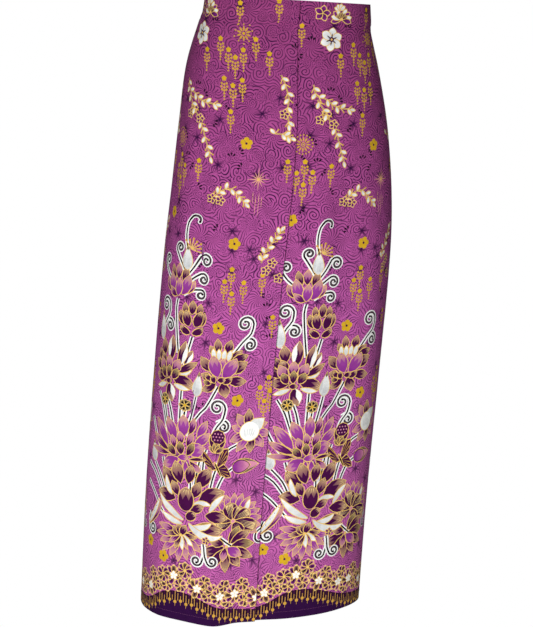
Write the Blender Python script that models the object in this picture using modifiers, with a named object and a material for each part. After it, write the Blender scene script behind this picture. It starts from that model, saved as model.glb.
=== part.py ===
"""Batik wrap sarong, hollow as it is worn: two front panels that lap, a back panel and a waistband.

Metres, +Z up. The origin is the centre of the waist opening, level with the top edge.
The front faces -Y and the over panel comes from -X, which is on the left seen from the front.
An angle runs round the body from the middle of the front, positive towards +X.
"""

import math
from collections import namedtuple

import bmesh
import bpy
from mathutils import Vector

# Driving sizes
LENGTH = 0.990
WALL = 0.0012
BAND_HEIGHT = 0.035
BAND_WALL = 0.0022
BAND_PROUD = 0.0006
SEAM_GAP = 0.0003
LAP_GAP = 0.0009
EDGE_RECESS = 0.0025

# Where the stretches of cloth begin and end, as angles in degrees
LEFT_SEAM = -92.0
RIGHT_SEAM = 92.0
UNDERLAP_END = -42.0
LAP_EDGE_TOP = 11.0
LAP_EDGE_HEM = 4.5
RECESS_FADE = 26.0

ROWS = 22
BAND_ROWS = 2
DEGREES_PER_COLUMN = 5.2

# A section of the body shape: how far below the waist, its middle, and its half width and half depth
Section = namedtuple("Section", "depth middle_x half_width half_depth middle_y")
SECTIONS = (
    Section(0.000, 0.0000, 0.1320, 0.098, 0.000),
    Section(0.030, 0.0000, 0.1352, 0.101, 0.000),
    Section(0.040, -0.0023, 0.1375, 0.104, 0.001),
    Section(0.110, -0.0012, 0.1557, 0.120, 0.004),
    Section(0.200, 0.0050, 0.1692, 0.130, 0.008),
    Section(0.310, 0.0083, 0.1794, 0.134, 0.010),
    Section(0.410, 0.0067, 0.1842, 0.133, 0.008),
    Section(0.600, 0.0004, 0.1846, 0.131, 0.004),
    Section(0.800, -0.0049, 0.1832, 0.130, 0.001),
    Section(1.010, -0.0058, 0.1815, 0.129, 0.000),
)

# How square a section is: 2 is an ellipse. The front is squarest where the cloth turns at the left.
SQUARENESS = 2.3
CORNER_SQUARENESS = 0.7
CORNER_ANGLE = -50.0
CORNER_REACH = 56.0

# Soft folds that run down the cloth: a ridge has a positive height, a trough a negative one
Fold = namedtuple("Fold", "angle_waist angle_hem starts ends height half_width")
FOLDS = (
    Fold(-55.0, -53.0, 0.06, 1.20, 0.0028, 7.0),
    Fold(36.0, 55.0, 0.20, 0.82, -0.0042, 9.0),
    Fold(54.0, 72.0, 0.30, 0.90, 0.0030, 9.0),
    Fold(24.0, 33.0, 0.10, 0.52, 0.0018, 8.0),
    Fold(-30.0, -24.0, 0.72, 1.20, 0.0035, 9.0),
    Fold(-12.0, -9.0, 0.78, 1.20, -0.0025, 7.0),
    Fold(-104.0, -100.0, 0.25, 1.20, -0.0030, 9.0),
    Fold(-128.0, -133.0, 0.20, 1.20, 0.0045, 10.0),
    Fold(-152.0, -158.0, 0.28, 1.20, -0.0040, 10.0),
    Fold(160.0, 152.0, 0.24, 1.20, -0.0045, 10.0),
    Fold(134.0, 124.0, 0.22, 1.20, 0.0040, 10.0),
    Fold(106.0, 101.0, 0.32, 1.20, -0.0025, 9.0),
)
FOLD_FADE = 0.16

# How far the hem hangs below LENGTH round the body
HemPoint = namedtuple("HemPoint", "angle drop")
HEM = (
    HemPoint(-180.0, -0.004),
    HemPoint(-120.0, 0.003),
    HemPoint(-90.0, 0.006),
    HemPoint(-54.0, 0.008),
    HemPoint(-25.0, 0.014),
    HemPoint(-10.0, 0.007),
    HemPoint(2.0, 0.002),
    HemPoint(20.0, -0.003),
    HemPoint(45.0, -0.010),
    HemPoint(68.0, -0.016),
    HemPoint(90.0, -0.015),
    HemPoint(130.0, -0.010),
    HemPoint(180.0, -0.004),
)

# Finish of each stretch as an sRGB colour
PLUM_TOP = (0.50, 0.20, 0.40)
MAGENTA = (0.66, 0.31, 0.58)
CLOTH_ROUGHNESS = 0.78


def smooth_step(low, high, value):
    share = min(1.0, max(0.0, (value - low) / (high - low)))
    return share * share * (3.0 - 2.0 * share)


def along_table(rows, column, value):
    """Reads a column of a table at a value of its first column, on a smooth curve through the rows."""
    xs = [row[0] for row in rows]
    ys = [row[column] for row in rows]
    last = len(rows) - 1
    value = min(xs[last], max(xs[0], value))
    i = 0
    while i < last - 1 and value > xs[i + 1]:
        i += 1

    def slope(k):
        before = max(k - 1, 0)
        after = min(k + 1, last)
        return (ys[after] - ys[before]) / (xs[after] - xs[before])

    step = xs[i + 1] - xs[i]
    t = (value - xs[i]) / step
    return (
        (1.0 + 2.0 * t) * (1.0 - t) ** 2 * ys[i]
        + t * (1.0 - t) ** 2 * step * slope(i)
        + t * t * (3.0 - 2.0 * t) * ys[i + 1]
        + t * t * (t - 1.0) * step * slope(i + 1)
    )


def fold_height(angle, depth):
    """The height of all folds at a place, with each one fading in and out along its length."""
    total = 0.0
    for fold in FOLDS:
        middle = fold.angle_waist + (fold.angle_hem - fold.angle_waist) * depth / LENGTH
        away = (angle - middle + 180.0) % 360.0 - 180.0
        across = math.exp(-((away / fold.half_width) ** 2))
        begun = smooth_step(fold.starts, fold.starts + FOLD_FADE, depth)
        ended = smooth_step(fold.ends - FOLD_FADE, fold.ends, depth)
        total += fold.height * across * begun * (1.0 - ended)
    return total


def surface(angle, depth, level):
    """A point of the cloth's outer face, moved out by level."""
    half_width = along_table(SECTIONS, 2, depth)
    half_depth = along_table(SECTIONS, 3, depth)
    turn = math.radians(angle)
    off_corner = (angle - CORNER_ANGLE) / CORNER_REACH
    corner = math.cos(off_corner * math.pi / 2.0) ** 2 if abs(off_corner) < 1.0 else 0.0
    power = SQUARENESS + CORNER_SQUARENESS * corner
    across = abs(math.sin(turn) / half_width) ** power
    along = abs(math.cos(turn) / half_depth) ** power
    radius = (across + along) ** (-1.0 / power) + fold_height(angle, depth) + level
    return Vector(
        (
            along_table(SECTIONS, 1, depth) + radius * math.sin(turn),
            along_table(SECTIONS, 4, depth) - radius * math.cos(turn),
            -depth,
        )
    )


def hem_depth(angle):
    away = (angle + 180.0) % 360.0 - 180.0
    return LENGTH + along_table(HEM, 1, away)


def lap_edge(depth):
    """The angle of the over panel's free edge at a depth."""
    return LAP_EDGE_TOP + (LAP_EDGE_HEM - LAP_EDGE_TOP) * smooth_step(0.05, 0.45, depth)


def under_level(angle, depth, wall):
    """How far the under cloth lies inside the over cloth: a wall and a gap, and a little more at the edge."""
    beyond = angle - lap_edge(depth)
    tucked = 1.0 - smooth_step(2.0, RECESS_FADE, beyond)
    at_edge = math.exp(-((beyond / RECESS_FADE) ** 2))
    return -(wall + LAP_GAP + EDGE_RECESS * at_edge) * tucked


def seam_allowance(angle, depth):
    """Half the seam gap as an angle in degrees at this place."""
    radius = (surface(angle, depth, 0.0) - Vector((0.0, 0.0, -depth))).length
    return math.degrees(0.5 * SEAM_GAP / radius)


def over_start(depth):
    return LEFT_SEAM + seam_allowance(LEFT_SEAM, depth)


def under_start(depth):
    return UNDERLAP_END


def under_end(depth):
    return RIGHT_SEAM - seam_allowance(RIGHT_SEAM, depth)


def back_start(depth):
    return RIGHT_SEAM + seam_allowance(RIGHT_SEAM, depth)


def back_end(depth):
    return LEFT_SEAM + 360.0 - seam_allowance(LEFT_SEAM, depth)


def panel_level(angle, depth):
    return 0.0


def under_panel_level(angle, depth):
    return under_level(angle, depth, WALL)


def band_level(angle, depth):
    return BAND_PROUD


def under_band_level(angle, depth):
    return BAND_PROUD + under_level(angle, depth, BAND_WALL)


# A stretch of cloth: where it starts and ends round the body, its level, and its wall
Stretch = namedtuple("Stretch", "name starts ends level is_band colour")
STRETCHES = (
    Stretch("front_over_panel", over_start, lap_edge, panel_level, False, MAGENTA),
    Stretch("front_under_panel", under_start, under_end, under_panel_level, False, MAGENTA),
    Stretch("back_panel", back_start, back_end, panel_level, False, MAGENTA),
    Stretch("waistband_over", over_start, lap_edge, band_level, True, PLUM_TOP),
    Stretch("waistband_under", under_start, under_end, under_band_level, True, PLUM_TOP),
    Stretch("waistband_back", back_start, back_end, band_level, True, PLUM_TOP),
)


def printed_cotton(name, colour):
    """Plain woven cotton, matt, in the print's mean colour."""
    material = bpy.data.materials.new(name)
    material.use_nodes = True
    shader = material.node_tree.nodes["Principled BSDF"]
    linear = [((c + 0.055) / 1.055) ** 2.4 for c in colour]
    shader.inputs["Base Color"].default_value = (*linear, 1.0)
    shader.inputs["Roughness"].default_value = CLOTH_ROUGHNESS
    shader.inputs["Metallic"].default_value = 0.0
    return material


def cloth_stretch(stretch, collection):
    """A flat grid laid on the body shape between two edges, then given its wall inwards."""
    span = stretch.ends(0.5 * LENGTH) - stretch.starts(0.5 * LENGTH)
    columns = round(span / DEGREES_PER_COLUMN)
    rows = BAND_ROWS if stretch.is_band else ROWS
    flat = bmesh.new()
    bmesh.ops.create_grid(flat, x_segments=columns, y_segments=rows, size=0.5)
    for vert in flat.verts:
        share = vert.co.x + 0.5
        down = 0.5 - vert.co.y
        if stretch.is_band:
            depth = down * (BAND_HEIGHT - 0.5 * SEAM_GAP)
            angle = stretch.starts(depth) + share * (stretch.ends(depth) - stretch.starts(depth))
        else:
            top = BAND_HEIGHT + 0.5 * SEAM_GAP
            rough_depth = top + down * (LENGTH - top)
            start = stretch.starts(rough_depth)
            angle = start + share * (stretch.ends(rough_depth) - start)
            depth = top + down * (hem_depth(angle) - top)
        vert.co = surface(angle, depth, stretch.level(angle, depth))
    mesh = bpy.data.meshes.new(stretch.name)
    flat.to_mesh(mesh)
    flat.free()
    mesh.shade_smooth()
    mesh.materials.append(printed_cotton("printed cotton, " + stretch.name, stretch.colour))
    piece = bpy.data.objects.new(stretch.name, mesh)
    wall = piece.modifiers.new("Wall", "SOLIDIFY")
    wall.thickness = BAND_WALL if stretch.is_band else WALL
    wall.offset = -1.0
    collection.objects.link(piece)
    return piece


def clear_scene():
    for old in list(bpy.data.objects):
        bpy.data.objects.remove(old, do_unlink=True)


def main():
    clear_scene()
    collection = bpy.data.collections.new("batik sarong")
    bpy.context.scene.collection.children.link(collection)
    waist = bpy.data.objects.new("waist", None)
    collection.objects.link(waist)
    for stretch in STRETCHES:
        cloth_stretch(stretch, collection).parent = waist


main()
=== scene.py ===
"""Batik wrap sarong: printed cotton laid on the form that the model gives, with its sewing.

The flat cloth is measured in millimetres: across is the distance round the body and down is the
distance below the waist. The worn form is in metres, +Z up, and its front faces -Y.
"""

import math
import random
from collections import namedtuple
from functools import lru_cache

import bmesh
import bpy
import numpy as np
from mathutils import Matrix, Vector
from mathutils.geometry import delaunay_2d_cdt


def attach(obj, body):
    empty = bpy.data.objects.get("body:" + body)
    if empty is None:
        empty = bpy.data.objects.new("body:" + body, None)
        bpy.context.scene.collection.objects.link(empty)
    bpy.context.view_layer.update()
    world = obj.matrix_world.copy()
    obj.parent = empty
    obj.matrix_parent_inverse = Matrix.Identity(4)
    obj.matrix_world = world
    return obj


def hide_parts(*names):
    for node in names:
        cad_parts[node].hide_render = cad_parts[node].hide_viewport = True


bl_info = {
    "name": "Batik Wrap Sarong",
    "version": (1, 0, 0),
    "blender": (4, 5, 0),
    "location": "View3D > Sidebar > Sarong",
    "description": "Lays printed cotton panels, a waistband and their stitching on a worn wrap sarong",
    "category": "Object",
}

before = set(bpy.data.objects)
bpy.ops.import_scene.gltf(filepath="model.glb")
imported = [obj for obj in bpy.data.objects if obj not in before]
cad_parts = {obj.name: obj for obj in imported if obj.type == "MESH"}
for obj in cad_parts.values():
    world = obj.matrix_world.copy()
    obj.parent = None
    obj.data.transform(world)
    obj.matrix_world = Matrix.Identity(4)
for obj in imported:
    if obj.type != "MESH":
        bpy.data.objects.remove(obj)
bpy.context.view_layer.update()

# The worn form, in metres and degrees round the body from the middle of the front
LENGTH = 0.990
BAND_PROUD = 0.0006
PANEL_WALL = 0.0012
BAND_WALL = 0.0022
SEAM_GAP = 0.0003
LAP_GAP = 0.0009
EDGE_RECESS = 0.0025
RECESS_FADE = 26.0
LEFT_SEAM = -92.0
RIGHT_SEAM = 92.0
UNDERLAP_END = -42.0
LAP_EDGE_TOP = 11.0
LAP_EDGE_HEM = 4.5
LAP_EDGE_TURNS = (0.05, 0.45)
EDGE_LIFT = 0.0022
LIFT_FADE = 9.0
LIFT_GROWS = (0.05, 0.25)
SQUARENESS = 2.3
CORNER_SQUARENESS = 0.7
CORNER_ANGLE = -50.0
CORNER_REACH = 56.0
FOLD_FADE = 0.16
# How far an edge rolls in at a seam and at the lap, and how broad the roll is, in mm
SEAM_ROLL = 0.0008
LAP_ROLL = 0.0004
ROLL_WIDTH = 1.3
# The way round the hips, for small sizes there
BODY_RADIUS = 0.17
MM_PER_DEGREE = 2.9

Section = namedtuple("Section", "depth middle_x half_width half_depth middle_y")
SECTIONS = (
    Section(0.000, 0.0000, 0.1320, 0.098, 0.000),
    Section(0.030, 0.0000, 0.1352, 0.101, 0.000),
    Section(0.040, -0.0023, 0.1375, 0.104, 0.001),
    Section(0.110, -0.0012, 0.1557, 0.120, 0.004),
    Section(0.200, 0.0050, 0.1692, 0.130, 0.008),
    Section(0.310, 0.0083, 0.1794, 0.134, 0.010),
    Section(0.410, 0.0067, 0.1842, 0.133, 0.008),
    Section(0.600, 0.0004, 0.1846, 0.131, 0.004),
    Section(0.800, -0.0049, 0.1832, 0.130, 0.001),
    Section(1.010, -0.0058, 0.1815, 0.129, 0.000),
)

# Soft folds of the whole cloth: a ridge has a positive height, a trough a negative one
Fold = namedtuple("Fold", "angle_waist angle_hem starts ends height half_width")
FOLDS = (
    Fold(-55.0, -53.0, 0.06, 1.20, 0.0028, 7.0),
    Fold(36.0, 55.0, 0.20, 0.82, -0.0042, 9.0),
    Fold(54.0, 72.0, 0.30, 0.90, 0.0030, 9.0),
    Fold(24.0, 33.0, 0.10, 0.52, 0.0018, 8.0),
    Fold(-30.0, -24.0, 0.72, 1.20, 0.0035, 9.0),
    Fold(-12.0, -9.0, 0.78, 1.20, -0.0025, 7.0),
    Fold(-104.0, -100.0, 0.25, 1.20, -0.0030, 9.0),
    Fold(-128.0, -133.0, 0.20, 1.20, 0.0045, 10.0),
    Fold(-152.0, -158.0, 0.28, 1.20, -0.0040, 10.0),
    Fold(160.0, 152.0, 0.24, 1.20, -0.0045, 10.0),
    Fold(134.0, 124.0, 0.22, 1.20, 0.0040, 10.0),
    Fold(106.0, 101.0, 0.32, 1.20, -0.0025, 9.0),
)

# Smaller creases, each a soft ridge or trough from one place to another, which fades and bows a little
CREASE_RISE = 0.35
CREASE_FALL = 0.6
CREASE_BOW = 0.05
PAST_CREASE = 0.012
BAND_CREASE_SHARE = 0.35
Crease = namedtuple("Crease", "angle depth end_angle end_depth height half_width")
CREASES = (
    Crease(-59.0, 0.080, -57.5, 0.960, -0.0026, 0.0060),
    Crease(-50.0, 0.070, -22.0, 0.120, -0.0009, 0.010),
    Crease(-52.0, 0.150, -30.0, 0.185, 0.0007, 0.012),
    Crease(20.0, 0.060, 50.0, 0.110, -0.0009, 0.011),
    Crease(48.0, 0.130, 78.0, 0.160, 0.0008, 0.012),
    Crease(30.0, 0.260, 44.0, 0.420, -0.0010, 0.010),
    Crease(12.0, 0.200, 20.0, 0.480, 0.0009, 0.010),
    Crease(14.0, 0.520, 24.0, 0.760, -0.0010, 0.011),
    Crease(-36.0, 0.300, -40.0, 0.560, 0.0008, 0.014),
    Crease(-20.0, 0.440, -16.0, 0.690, -0.0008, 0.013),
    Crease(-44.0, 0.620, -38.0, 0.900, -0.0011, 0.012),
    Crease(60.0, 0.560, 68.0, 0.800, -0.0010, 0.012),
    Crease(-76.0, 0.180, -70.0, 0.420, -0.0010, 0.014),
    Crease(-80.0, 0.520, -74.0, 0.880, 0.0011, 0.014),
    Crease(112.0, 0.080, 140.0, 0.130, -0.0010, 0.012),
    Crease(118.0, 0.300, 112.0, 0.620, 0.0010, 0.014),
    Crease(146.0, 0.180, 142.0, 0.460, -0.0011, 0.013),
    Crease(172.0, 0.090, 196.0, 0.140, 0.0009, 0.013),
    Crease(176.0, 0.330, 180.0, 0.720, 0.0012, 0.015),
    Crease(198.0, 0.420, 192.0, 0.800, -0.0010, 0.013),
    Crease(222.0, 0.090, 244.0, 0.150, -0.0010, 0.012),
    Crease(240.0, 0.260, 246.0, 0.540, 0.0010, 0.014),
    Crease(232.0, 0.600, 240.0, 0.900, -0.0010, 0.013),
)

HemPoint = namedtuple("HemPoint", "angle drop")
HEM = (
    HemPoint(-180.0, -0.004),
    HemPoint(-120.0, 0.003),
    HemPoint(-90.0, 0.006),
    HemPoint(-54.0, 0.008),
    HemPoint(-25.0, 0.014),
    HemPoint(-10.0, 0.007),
    HemPoint(2.0, 0.002),
    HemPoint(20.0, -0.003),
    HemPoint(45.0, -0.010),
    HemPoint(68.0, -0.016),
    HemPoint(90.0, -0.015),
    HemPoint(130.0, -0.010),
    HemPoint(180.0, -0.004),
)

# The flat cloth, in millimetres
REPEAT = 225.0
CUT_LENGTH = 990.0
BAND_FOOT = 35.0
CELL_COLUMNS = 6
CELL_WIDTH = REPEAT / CELL_COLUMNS
PANEL_CELL_ROWS = 26
STEPS_IN_CELL = 4
TURNED_EDGE = 9.0
TURNED_HEM = 14.0


def smooth_step(low, high, value):
    share = np.clip((value - low) / (high - low), 0.0, 1.0)
    return share * share * (3.0 - 2.0 * share)


def along_table(rows, column, value):
    """Reads a column of a table at values of its first column, on a smooth curve through the rows."""
    xs = np.array([row[0] for row in rows])
    ys = np.array([getattr(row, column) for row in rows])
    last = len(rows) - 1
    before = np.maximum(np.arange(last + 1) - 1, 0)
    after = np.minimum(np.arange(last + 1) + 1, last)
    slope = (ys[after] - ys[before]) / (xs[after] - xs[before])
    value = np.clip(value, xs[0], xs[last])
    i = np.clip(np.searchsorted(xs, value, side="left") - 1, 0, last - 1)
    step = xs[i + 1] - xs[i]
    t = (value - xs[i]) / step
    return (
        (1.0 + 2.0 * t) * (1.0 - t) ** 2 * ys[i]
        + t * (1.0 - t) ** 2 * step * slope[i]
        + t * t * (3.0 - 2.0 * t) * ys[i + 1]
        + t * t * (t - 1.0) * step * slope[i + 1]
    )


def fold_height(angle, depth):
    total = np.zeros(np.broadcast(angle, depth).shape)
    for fold in FOLDS:
        middle = fold.angle_waist + (fold.angle_hem - fold.angle_waist) * depth / LENGTH
        away = (angle - middle + 180.0) % 360.0 - 180.0
        across = np.exp(-((away / fold.half_width) ** 2))
        begun = smooth_step(fold.starts, fold.starts + FOLD_FADE, depth)
        ended = smooth_step(fold.ends - FOLD_FADE, fold.ends, depth)
        total += fold.height * across * begun * (1.0 - ended)
    return total


def crease_height(angle, depth):
    """Soft ridges and troughs, each fading towards both its ends."""
    metres_per_degree = MM_PER_DEGREE / 1000.0
    total = np.zeros(np.broadcast(angle, depth).shape)
    for crease in CREASES:
        away = ((angle - crease.angle + 180.0) % 360.0 - 180.0) * metres_per_degree
        down = depth - crease.depth
        run_x = (crease.end_angle - crease.angle) * metres_per_degree
        run_y = crease.end_depth - crease.depth
        length = math.hypot(run_x, run_y)
        along = (away * run_x + down * run_y) / length
        aside = (away * run_y - down * run_x) / length
        bow = CREASE_BOW * length * np.sin(np.clip(along / length, 0.0, 1.0) * math.pi)
        begun = smooth_step(-PAST_CREASE, CREASE_RISE * length, along)
        ended = smooth_step(CREASE_FALL * length, length + PAST_CREASE, along)
        across = np.exp(-(((aside - bow) / crease.half_width) ** 2))
        total += crease.height * across * (begun * (1.0 - ended))
    return total


def surface(angle, depth, level):
    """Places on the cloth's outer face, moved out by level."""
    turn = np.radians(angle)
    off_corner = (angle - CORNER_ANGLE) / CORNER_REACH
    corner = np.where(np.abs(off_corner) < 1.0, np.cos(off_corner * math.pi / 2.0) ** 2, 0.0)
    power = SQUARENESS + CORNER_SQUARENESS * corner
    across = np.abs(np.sin(turn) / along_table(SECTIONS, "half_width", depth)) ** power
    along = np.abs(np.cos(turn) / along_table(SECTIONS, "half_depth", depth)) ** power
    radius = (across + along) ** (-1.0 / power) + fold_height(angle, depth) + level
    x = along_table(SECTIONS, "middle_x", depth) + radius * np.sin(turn)
    y = along_table(SECTIONS, "middle_y", depth) - radius * np.cos(turn)
    return np.stack(np.broadcast_arrays(x, y, -depth), axis=-1)


def hem_depth(angle):
    return LENGTH + along_table(HEM, "drop", (angle + 180.0) % 360.0 - 180.0)


def lap_edge(depth):
    return LAP_EDGE_TOP + (LAP_EDGE_HEM - LAP_EDGE_TOP) * smooth_step(*LAP_EDGE_TURNS, depth)


def under_level(angle, depth, wall):
    """How far the under cloth lies inside the over cloth: a wall and a gap, and more at the edge."""
    beyond = angle - lap_edge(depth)
    tucked = 1.0 - smooth_step(2.0, RECESS_FADE, beyond)
    at_edge = np.exp(-((beyond / RECESS_FADE) ** 2))
    return -(wall + LAP_GAP + EDGE_RECESS * at_edge) * tucked


def shade(text):
    """An sRGB hex colour as shares of one, the way that the print's byte colours take it."""
    return np.array([int(text[i:i + 2], 16) / 255.0 for i in (1, 3, 5)])


GOLD = shade("#e6bd68")
PALE_GOLD = shade("#ecd08c")
YELLOW = shade("#cfa524")
AMBER = shade("#c8993f")
WHITE = shade("#f1f2ee")
GREY_WHITE = shade("#c9cbcc")
BLACK = shade("#150a10")
CHARCOAL = shade("#55464f")
PLUM = shade("#43083f")
DEEP_PLUM = shade("#2b0538")
LILAC = shade("#842c88")
SALMON = shade("#cf86a0")
TAN = shade("#a57f68")
ROSE = shade("#bd8290")
MAUVE = shade("#a2509c")
OLIVE = shade("#8c7650")
DARK_OLIVE = shade("#6d5f4a")

Shape = namedtuple("Shape", "points first last start reach")


def toward(angle):
    turn = math.radians(angle)
    return np.array((math.sin(turn), -math.cos(turn)))


def spot(x, y, distance, angle):
    """The place at a distance from x, y towards an angle."""
    return np.array((x, y)) + distance * toward(angle)


class Petal:
    """A pointed petal: its places are read along its spine, 0 to 1, and across it, -1 to 1."""

    def __init__(self, root, angle, length, width, bend=0.0, full=0.45, tip=1.0):
        self.along = np.linspace(0.0, 1.0, 17)
        self.heading = np.radians(angle + bend * (self.along - 0.5))
        middle = 0.5 * (self.heading[1:] + self.heading[:-1])
        steps = length / 16.0 * np.column_stack((np.sin(middle), -np.cos(middle)))
        self.spine = np.vstack((root, np.asarray(root) + np.cumsum(steps, axis=0)))
        self.half = 0.5 * width
        self.full = full
        self.tip = tip

    def at(self, along, across, grow=0.0):
        along = np.atleast_1d(np.asarray(along, float))
        across = np.asarray(across, float)
        heading = np.interp(along, self.along, self.heading)
        place = np.column_stack([np.interp(along, self.along, self.spine[:, k]) for k in (0, 1)])
        rise = (along / self.full) ** (self.tip * self.full / (1.0 - self.full))
        fall = ((1.0 - along) / (1.0 - self.full)) ** self.tip
        wide = np.abs(across) * self.half * rise * fall + grow
        out = np.sign(across) * np.maximum(wide, 0.02)
        return place + np.column_stack((np.cos(heading), np.sin(heading))) * np.reshape(out, (-1, 1))

    def outline(self, grow, count=7):
        along = 0.5 - 0.5 * np.cos(np.linspace(0.0, math.pi, count + 2))[1:-1]
        first, last = self.heading[0], self.heading[-1]
        tip = self.spine[-1] + grow * 1.5 * np.array((math.sin(last), -math.cos(last)))
        root = self.spine[0] - grow * 0.6 * np.array((math.sin(first), -math.cos(first)))
        return np.vstack((root, self.at(along, -1.0, grow), tip, self.at(along[::-1], 1.0, grow)))

    def tip_zone(self, begins, teeth=3, depth=0.16):
        along = np.linspace(begins, 0.97, 4)
        edge = np.vstack((self.at(along, -0.99), self.at(1.0, 0.0), self.at(along[::-1], 0.99)))
        across = np.linspace(0.8, -0.8, 2 * teeth - 1)
        low = np.where(np.arange(2 * teeth - 1) % 2 == 0, begins + depth, begins - depth * 0.6)
        return np.vstack((edge, self.at(low, across)))

    def side(self, hand, begins=0.04, ends=0.96, deep=0.9):
        """A crescent along one side of the petal."""
        along = np.linspace(begins, ends, 7)
        inner = hand * (0.97 - deep * np.sin(np.linspace(0.0, math.pi, 7)))
        return np.vstack((self.at(along, hand * 0.99), self.at(along[::-1], inner[::-1])[1:-1]))


Style = namedtuple("Style", "root middle tip begins white hatch")
STYLES = {
    "dark": Style(PLUM, PLUM, TAN, 0.56, 0, PALE_GOLD),
    "dark low": Style(PLUM, PLUM, TAN, 0.42, 0, PALE_GOLD),
    "dark high": Style(PLUM, PLUM, TAN, 0.70, 0, PALE_GOLD),
    "dark white left": Style(PLUM, PLUM, TAN, 0.52, -1, None),
    "dark white right": Style(PLUM, PLUM, TAN, 0.52, 1, None),
    "lilac": Style(LILAC, MAUVE, ROSE, 0.58, 0, GOLD),
    "lilac dark": Style(PLUM, LILAC, ROSE, 0.55, 0, GOLD),
    "rose": Style(PLUM, LILAC, ROSE, 0.40, 0, GOLD),
    "white": Style(GREY_WHITE, WHITE, WHITE, None, 0, None),
    "olive": Style(PLUM, PLUM, OLIVE, 0.45, 0, PALE_GOLD),
    "drawn": Style(PLUM, LILAC, LILAC, None, 0, None),
}

Row = namedtuple("Row", "x y angle length width bend style")
CURL_STEP = 26.0


class Drawing:
    """The print's shapes in the order that they lie on each other, in mm on the flat cloth."""

    def __init__(self):
        self.shapes = []

    def fill(self, points, first, last=None, start=(0.0, 0.0), reach=(1.0, 0.0)):
        points = np.asarray(points, float)
        last = first if last is None else last
        self.shapes.append(Shape(points, first, last, np.asarray(start, float), np.asarray(reach, float)))

    def dot(self, x, y, radius, dye, sides=6, stretch=1.0, angle=0.0):
        turn = np.arange(sides) * 2.0 * math.pi / sides
        ring = np.column_stack((radius * np.cos(turn), radius * stretch * np.sin(turn)))
        c, s = math.cos(math.radians(angle)), math.sin(math.radians(angle))
        self.fill(ring @ np.array(((c, s), (-s, c))) + (x, y), dye)

    def lobes(self, x, y, radius, count, dip, dye, angle=0.0, steps=3):
        """A round flower outline of lobes."""
        turn = np.arange(count * steps) * 2.0 * math.pi / (count * steps)
        out = radius * (1.0 - dip + dip * np.abs(np.cos(0.5 * count * turn)))
        turn = turn + math.radians(angle)
        self.fill(np.column_stack((x + out * np.sin(turn), y - out * np.cos(turn))), dye)

    def line(self, points, width, dye):
        """A drawn line as a run of short four-sided strokes, each as wide as the width says there."""
        points = np.asarray(points, float)
        width = np.broadcast_to(width, len(points))
        run = np.gradient(points, axis=0)
        run /= np.linalg.norm(run, axis=1)[:, None] + 1e-9
        side = np.column_stack((-run[:, 1], run[:, 0])) * (0.5 * width)[:, None]
        left, right = points + side, points - side
        for i in range(len(points) - 1):
            self.fill((left[i], left[i + 1], right[i + 1], right[i]), dye)

    def petal(self, root, angle, length, width, style, bend=0.0, full=0.45, tip=1.0, rim=1.0, count=5):
        """A petal in a gold line, its dye running from the root to the tip as its style says."""
        petal = Petal(root, angle, length, width, bend, full, tip)
        look = STYLES[style]
        axis = petal.spine[-1] - petal.spine[0]
        self.fill(petal.outline(rim, count), GOLD)
        self.fill(petal.outline(-rim * 0.5, count), look.root, look.middle, petal.spine[0], axis)
        if look.begins is not None:
            start = petal.at(look.begins - 0.08, 0.0)[0]
            blend = 0.55 * look.middle + 0.45 * look.tip
            self.fill(petal.tip_zone(look.begins), blend, look.tip, start, 0.6 * (petal.spine[-1] - start))
        if look.white:
            self.fill(petal.side(look.white), WHITE)
        if look.hatch is not None:
            for across in (-0.5, -0.05, 0.4):
                ends = petal.at((0.90, 0.66 + 0.1 * abs(across), 0.90), (across, across, across + 0.2))
                self.fill(ends, look.hatch)
        return petal

    def leaf(self, root, angle, length, width, dye, count=2, grow=0.0, full=0.45, tip=1.0):
        """A plain petal of one dye."""
        self.fill(Petal(root, angle, length, width, full=full, tip=tip).outline(grow, count), dye)

    def rows(self, x, y, rows, full=0.45, tip=1.0):
        for row in rows:
            root = (x + row.x, y + row.y)
            self.petal(root, row.angle, row.length, row.width, row.style, row.bend, full, tip)

    def stem(self, points):
        """A white stem with a black line down its middle."""
        path = smooth_path(points, 9.0)
        self.line(path, 6.6, WHITE)
        self.line(path, 2.5, BLACK)

    def tendril(self, points, radius, hand, turns=1.35, wide=7.6):
        """A tendril that rolls up at its end: white, with a black line that swells in the curl."""
        path = list(smooth_path(points, 6.0))
        run = path[-1] - path[-2]
        turn = math.degrees(math.atan2(run[0], -run[1]))
        begun = len(path)
        for _ in range(int(turns * 360.0 / CURL_STEP)):
            turn += hand * CURL_STEP
            path.append(path[-1] + radius * math.radians(CURL_STEP) * toward(turn))
            radius *= 0.935
        path = np.array(path)
        share = np.clip((np.arange(len(path)) - begun + 4.0) / (len(path) - begun + 4.0), 0.0, 1.0)
        self.line(path, wide - 0.8 * share, WHITE)
        self.dot(path[-1][0], path[-1][1], 3.4, WHITE, 8)
        black = 2.4 + 1.2 * np.sin(math.pi * share)
        self.line(path, black, BLACK)
        self.line(path[begun:], 0.42 * black[begun:], CHARCOAL)
        self.dot(path[-1][0], path[-1][1], 2.1, BLACK, 7)

    def string(self, x, y):
        """A yellow flower head over a tapering string of small gold blossoms."""
        self.lobes(x, y, 4.6, 5, 0.25, YELLOW, 0.0, 2)
        for row, spread in enumerate((4.0, 4.6, 3.4)):
            down = y + 7.5 + 4.8 * row
            for side in (-1, 0, 1):
                self.dot(x + side * spread, down + 1.6 * (side == 0), 2.3, AMBER, 4)
        for k in range(3):
            self.dot(x, y + 23.0 + 4.4 * k, 2.3 - 0.3 * k, AMBER, 4)

    def yellow_flower(self, x, y, radius=10.0, angle=0.0):
        """Five round petals with a small dark heart."""
        for k in range(5):
            self.leaf((x, y), angle + 72.0 * k, radius, radius * 0.86, YELLOW, 5, full=0.64, tip=0.5)
            self.leaf((x, y), angle + 72.0 * k + 36.0, radius * 0.62, 1.1, DARK_OLIVE)
        self.dot(x, y, radius * 0.2, PLUM, 6)

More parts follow.
